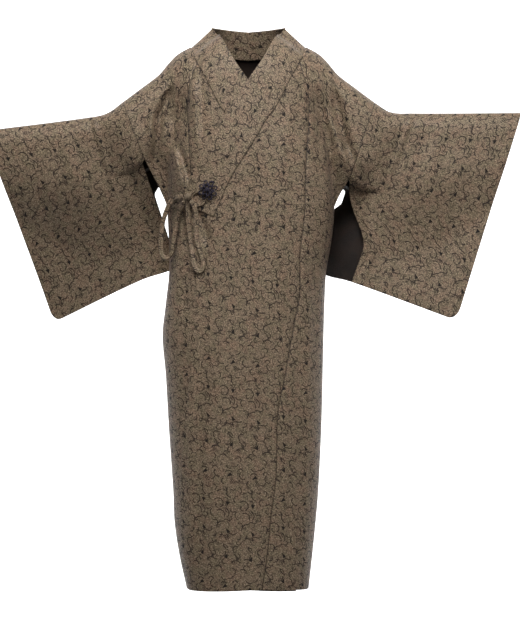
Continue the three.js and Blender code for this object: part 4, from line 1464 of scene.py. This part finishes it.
def share(name, description, value):
    return bpy.props.FloatProperty(
        name=name, description=description, default=value, min=0, max=1, subtype="FACTOR"
    )


def distance(name, description, value, low, high):
    return bpy.props.FloatProperty(
        name=name, description=description, default=value, min=low, max=high,
        subtype="DISTANCE", unit="LENGTH", precision=5,
    )


class CoatCloth(bpy.types.PropertyGroup):
    """Colours and finish of the cloth"""

    ground: tone("Ground", "Taupe ground of the cloth", "8c7963")
    ground_warm: tone("Warm ground", "Redder patches of the ground", "927862")
    ground_green: tone("Green ground", "Greener patches of the ground", "7c7258")
    # Pale specks: partly pale threads, partly painted glints of the silk
    ground_threads_and_glint: tone("Light threads and painted glints", "Pale glints in the ground", "c6b092")
    ground_dark: tone("Dark threads", "Dark threads between the light ones", "3e322a")
    motif: tone("Strokes", "Curved strokes of the pattern", "221b18")
    motif_dark: tone("Drops", "Solid drops of the pattern", "0f0c0b")
    # The inside's very dark tone is partly painted shade, standing in for the shadow inside the
    # sleeves and body
    inside: tone("Inside", "Plain inner side of the cloth, darkened partly as painted shade", "221812")
    tie: tone("Tie", "Cloth of the tie's knots", "776957")
    flower: tone("Ornament", "Dark cord of the ornamental knot", "2c2733")
    sheen_tint: tone("Sheen tint", "Colour of the silky sheen", "8f86a0")
    sheen: share("Sheen", "Strength of the silky sheen", 0.08)
    stroke_strength: share("Stroke strength", "How dark the curved strokes are", 0.95)
    thread_pitch: distance(
        "Thread pitch", "Distance between threads", 0.9 * MM, 0.1 * MM, 5 * MM
    )
    thickness: distance(
        "Thickness", "Thickness of one layer of cloth", SHELL, 0.2 * MM, 2 * MM
    )


class CoatTie(bpy.types.PropertyGroup):
    """Sizes of the tie"""

    diameter: distance(
        "Diameter", "Thickness of the tie's cord", TIE_WIDE * MM, 2 * MM, 10 * MM
    )
    petals: bpy.props.IntProperty(
        name="Petals", description="Outer loops of the ornamental knot", default=8, min=4, max=14
    )


class CoatStage(bpy.types.PropertyGroup):
    """Floor and light"""

    floor: distance("Floor", "Height of the floor under the coat", -1.46, -3, -1.3)
    key: bpy.props.FloatProperty(
        name="Main light", description="Power of the large light in front", default=110.0,
        min=0, max=1000, unit="POWER",
    )
    fill: bpy.props.FloatProperty(
        name="Surroundings", description="Strength of the even light from all round",
        default=0.2, min=0, max=5,
    )

CAMERA_X, CAMERA_Y, CAMERA_Z = 0.026, -4.0, -0.655
LENS = 100
SENSOR = 36
# Lights: name, place, what it points at, size, and share of the main light's power
LIGHTS = [
    ("main light", (-0.1, -1.95, 1.75), (0, 0, -0.25), 1.4, 1),
    ("side light", (2.4, -2.2, 0.9), (0, 0, -0.4), 1.2, 0.16),
]


def place_camera():
    data = bpy.data.cameras.new("camera")
    data.lens = LENS
    data.sensor_width = SENSOR
    data.sensor_fit = "AUTO"
    data.dof.use_dof = False
    camera = bpy.data.objects.new("camera", data)
    camera.location = (CAMERA_X, CAMERA_Y, CAMERA_Z)
    camera.rotation_euler = (math.pi / 2, 0, 0)
    bpy.context.collection.objects.link(camera)
    bpy.context.scene.camera = camera


def add_area(name, place, towards, size, power):
    data = bpy.data.lights.new(name, "AREA")
    data.shape = "SQUARE"
    data.size = size
    data.energy = power
    light = bpy.data.objects.new(name, data)
    light.location = place
    light.rotation_euler = (Vector(towards) - Vector(place)).to_track_quat("-Z", "Y").to_euler()
    bpy.context.collection.objects.link(light)


# Where the backdrop turns from grey to glowing white, and how strongly it glows
WALL_FROM, WALL_TO, WALL_GLOW = 0.2, 0.45, 0.8
WHITE, GREY = (0.95, 0.95, 0.95, 1), (0.2, 0.2, 0.2, 1)
# Its near edge and half width, where it bends up and in how many steps, and its height
NEAR_EDGE, HALF_WIDE, BEND, BEND_STEPS, TALL = -7.0, 6, 0.9, 12, 5.5


def add_backdrop(floor):
    """A floor that is grey in front and curves up into a white wall behind the coat."""
    bpy.ops.object.select_all(action="DESELECT")
    bpy.ops.mesh.primitive_plane_add(size=1, location=(0, 0, floor))
    backdrop = bpy.context.object
    backdrop.name = "backdrop"
    mesh = backdrop.data
    line = [(NEAR_EDGE, floor), (BEND, floor)]
    for i in range(1, BEND_STEPS + 1):
        turn = math.pi / 2 * i / BEND_STEPS
        line.append((BEND + BEND * math.sin(turn), floor + BEND * (1 - math.cos(turn))))
    line.append((2 * BEND, floor + TALL))
    verts = [(x, y, z) for y, z in line for x in (-HALF_WIDE, HALF_WIDE)]
    faces = [(2 * i, 2 * i + 1, 2 * i + 3, 2 * i + 2) for i in range(len(line) - 1)]
    mesh.clear_geometry()
    mesh.from_pydata(verts, [], faces)
    mesh.polygons.foreach_set("use_smooth", [True] * len(faces))
    backdrop.location = (0, 0, 0)
    white, nodes, shader = new_material("backdrop")
    place = nodes.add("ShaderNodeTexCoord").outputs["Object"]
    depth = nodes.add("ShaderNodeSeparateXYZ", {0: place}).outputs["Y"]
    front = nodes.ramp(depth, WALL_FROM, WALL_TO)
    nodes.plug(shader.inputs["Base Color"], nodes.mix(front, WHITE, GREY))
    shader.inputs["Roughness"].default_value = 0.9
    glow = nodes.times(nodes.math("SUBTRACT", 1.0, front), WALL_GLOW)
    shader.inputs["Emission Color"].default_value = (1, 1, 1, 1)
    nodes.plug(shader.inputs["Emission Strength"], glow)
    mesh.materials.append(white)


class OBJECT_OT_coat_stage(bpy.types.Operator):
    """Adds the camera, soft light and pale backdrop"""

    bl_idname = "object.coat_stage"
    bl_label = "Stage"

    def execute(self, context):
        stage = context.scene.coat_stage
        place_camera()
        add_backdrop(stage.floor)
        for name, place, towards, size, strength in LIGHTS:
            add_area(name, place, towards, size, stage.key * strength)
        world = context.scene.world or bpy.data.worlds.new("surroundings")
        context.scene.world = world
        world.use_nodes = True
        sky = world.node_tree.nodes["Background"]
        sky.inputs["Color"].default_value = (1, 1, 1, 1)
        sky.inputs["Strength"].default_value = stage.fill
        context.scene.view_settings.view_transform = "Standard"
        return {"FINISHED"}


class OBJECT_OT_coat_cords(bpy.types.Operator):
    """Makes the tie's ring, its two hanging loops and the length from the side seam"""

    bl_idname = "object.coat_cords"
    bl_label = "Tie cords"

    def execute(self, context):
        make_cord("side_loop", SIDE_LOOP, "tie_side_loop")
        make_cord("front_loop", FRONT_LOOP, "tie_front_loop")
        make_cord("side_tie", SIDE_TIE, "tie_side")
        make_cord("tie_ring_cord", RING, "tie_ring", RING_BROAD)
        return {"FINISHED"}


class OBJECT_OT_coat_knots(bpy.types.Operator):
    """Makes the bow knot and the small knot at the side"""

    bl_idname = "object.coat_knots"
    bl_label = "Knots"

    def execute(self, context):
        make_bow_knot()
        make_side_knot()
        return {"FINISHED"}


class OBJECT_OT_coat_flower(bpy.types.Operator):
    """Makes the ornamental knot at the end of the collar"""

    bl_idname = "object.coat_flower"
    bl_label = "Ornament"

    def execute(self, context):
        make_flower()
        return {"FINISHED"}


# The pattern drops by this share of the way across, towards the wearer's left
FRONT_SKEW = -0.15
PIECE_NAMES = {LEFT: "left", RIGHT: "right"}

# Cut of each flat piece in metres, width and length, and its area where it isn't a rectangle
BODY_CUT, BODY_AREA = (0.33, 2.64), 0.47
OVERLAP_CUT, OVERLAP_AREA = (0.34, 1.36), 0.22
COLLAR_CUT = (0.075, 0.67)
SLEEVE_CUT = (0.35, 0.98)
CLOTH_MATERIALS = ("jacquard", "inside")


def round_from_middle(grid, side):
    return level_arcs(grid) * side + grid[:, :1, 0]


def make_sheet(
    part, side, grid, uv, seams, flat, area=None, held="hung", lies_on="body_cloth_", **shape
):
    """Turns a grid into one dressed sheet of cloth, hung with a dark inside that is partly painted
    shade, or folded.
    """
    name = PIECE_NAMES[side]
    piece = shell_object(part + "_cloth_" + name, grid, uv, seams, side=side, **shape)
    hung = held == "hung"
    sides = CLOTH_MATERIALS if hung else CLOTH_MATERIALS[:1]
    dress(piece, [material(each) for each in sides], part + "_" + name)
    finish_cloth(piece, bpy.context.scene.coat_cloth.thickness if hung else COLLAR_SHELL)


class OBJECT_OT_coat_body(bpy.types.Operator):
    """Makes the two body lengths, each from the front hem over the shoulder to the back hem"""

    bl_idname = "object.coat_body"
    bl_label = "Body"

    def execute(self, context):
        for side in PIECE_NAMES:
            grid = body_grid(side)
            half = len(body_rows())
            grid = crease(grid, side, [(FRONT, slice(0, half - 1)), (BACK, slice(half, None))])
            uv = cloth_uv(round_from_middle(grid, side), length_down(grid), FRONT_SKEW)
            seams = seam_distance(grid, True, True)
            make_sheet("body", side, grid, uv, seams, BODY_CUT, BODY_AREA, lies_on="collar_")
        return {"FINISHED"}


class OBJECT_OT_coat_overlaps(bpy.types.Operator):
    """Makes the outer and the inner overlap panel"""

    bl_idname = "object.coat_overlaps"
    bl_label = "Overlap panels"

    def execute(self, context):
        for side in PIECE_NAMES:
            grid, cells = overlap_grid(side)
            grid = crease(grid, side, [(FRONT, slice(None))])
            uv = cloth_uv(round_from_middle(grid, side), -grid[..., 2], FRONT_SKEW)
            seams = seam_distance(grid, False, True)
            make_sheet(
                "overlap", side, grid, uv, seams, OVERLAP_CUT, OVERLAP_AREA, cells=cells,
                turned=True,
            )
        return {"FINISHED"}


class OBJECT_OT_coat_collar(bpy.types.Operator):
    """Makes the two halves of the folded collar band"""

    bl_idname = "object.coat_collar"
    bl_label = "Collar"

    def execute(self, context):
        for side in PIECE_NAMES:
            grid = collar_grid(side)
            uv = cloth_uv(-side * arc_lengths(grid, 1), -length_down(grid))
            seams = seam_distance(grid, True, False)
            make_sheet("collar", side, grid, uv, seams, COLLAR_CUT, held="folded")
        return {"FINISHED"}


class OBJECT_OT_coat_sleeves(bpy.types.Operator):
    """Makes the two sleeves, each one sheet folded along its top"""

    bl_idname = "object.coat_sleeves"
    bl_label = "Sleeves"

    def execute(self, context):
        for side in PIECE_NAMES:
            grid = sleeve_grid(side)
            uv = cloth_uv(side * arc_lengths(grid, 1), length_down(grid))
            seams = seam_distance(grid, True, False)
            make_sheet("sleeve", side, grid, uv, seams, SLEEVE_CUT)
        return {"FINISHED"}


OPERATORS = (
    OBJECT_OT_coat_stage,
    OBJECT_OT_coat_cords,
    OBJECT_OT_coat_knots,
    OBJECT_OT_coat_flower,
    OBJECT_OT_coat_body,
    OBJECT_OT_coat_overlaps,
    OBJECT_OT_coat_collar,
    OBJECT_OT_coat_sleeves,
)


class VIEW3D_PT_coat(bpy.types.Panel):
    """Lists the coat's pieces and their sizes"""

    bl_label = "Kimono coat"
    bl_idname = "VIEW3D_PT_coat"
    bl_space_type = "VIEW_3D"
    bl_region_type = "UI"
    bl_category = "Coat"

    def draw(self, context):
        for operator in OPERATORS:
            self.layout.operator(operator.bl_idname)
        for group in SETTINGS:
            settings = getattr(context.scene, group)
            box = self.layout.box()
            for name in settings.__annotations__:
                box.prop(settings, name)


SETTINGS = {"coat_cloth": CoatCloth, "coat_tie": CoatTie, "coat_stage": CoatStage}
CLASSES = (*SETTINGS.values(), *OPERATORS, VIEW3D_PT_coat)


def register():
    for each in CLASSES:
        bpy.utils.register_class(each)
    for name, group in SETTINGS.items():
        setattr(bpy.types.Scene, name, bpy.props.PointerProperty(type=group))


def unregister():
    for name in SETTINGS:
        delattr(bpy.types.Scene, name)
    for each in reversed(CLASSES):
        bpy.utils.unregister_class(each)


def main():
    register()
    bpy.ops.object.coat_stage()
    bpy.ops.object.coat_cords()
    bpy.ops.object.coat_knots()
    bpy.ops.object.coat_flower()
    bpy.ops.object.coat_body()
    bpy.ops.object.coat_overlaps()
    bpy.ops.object.coat_collar()
    bpy.ops.object.coat_sleeves()


if __name__ == "__main__":
    main()
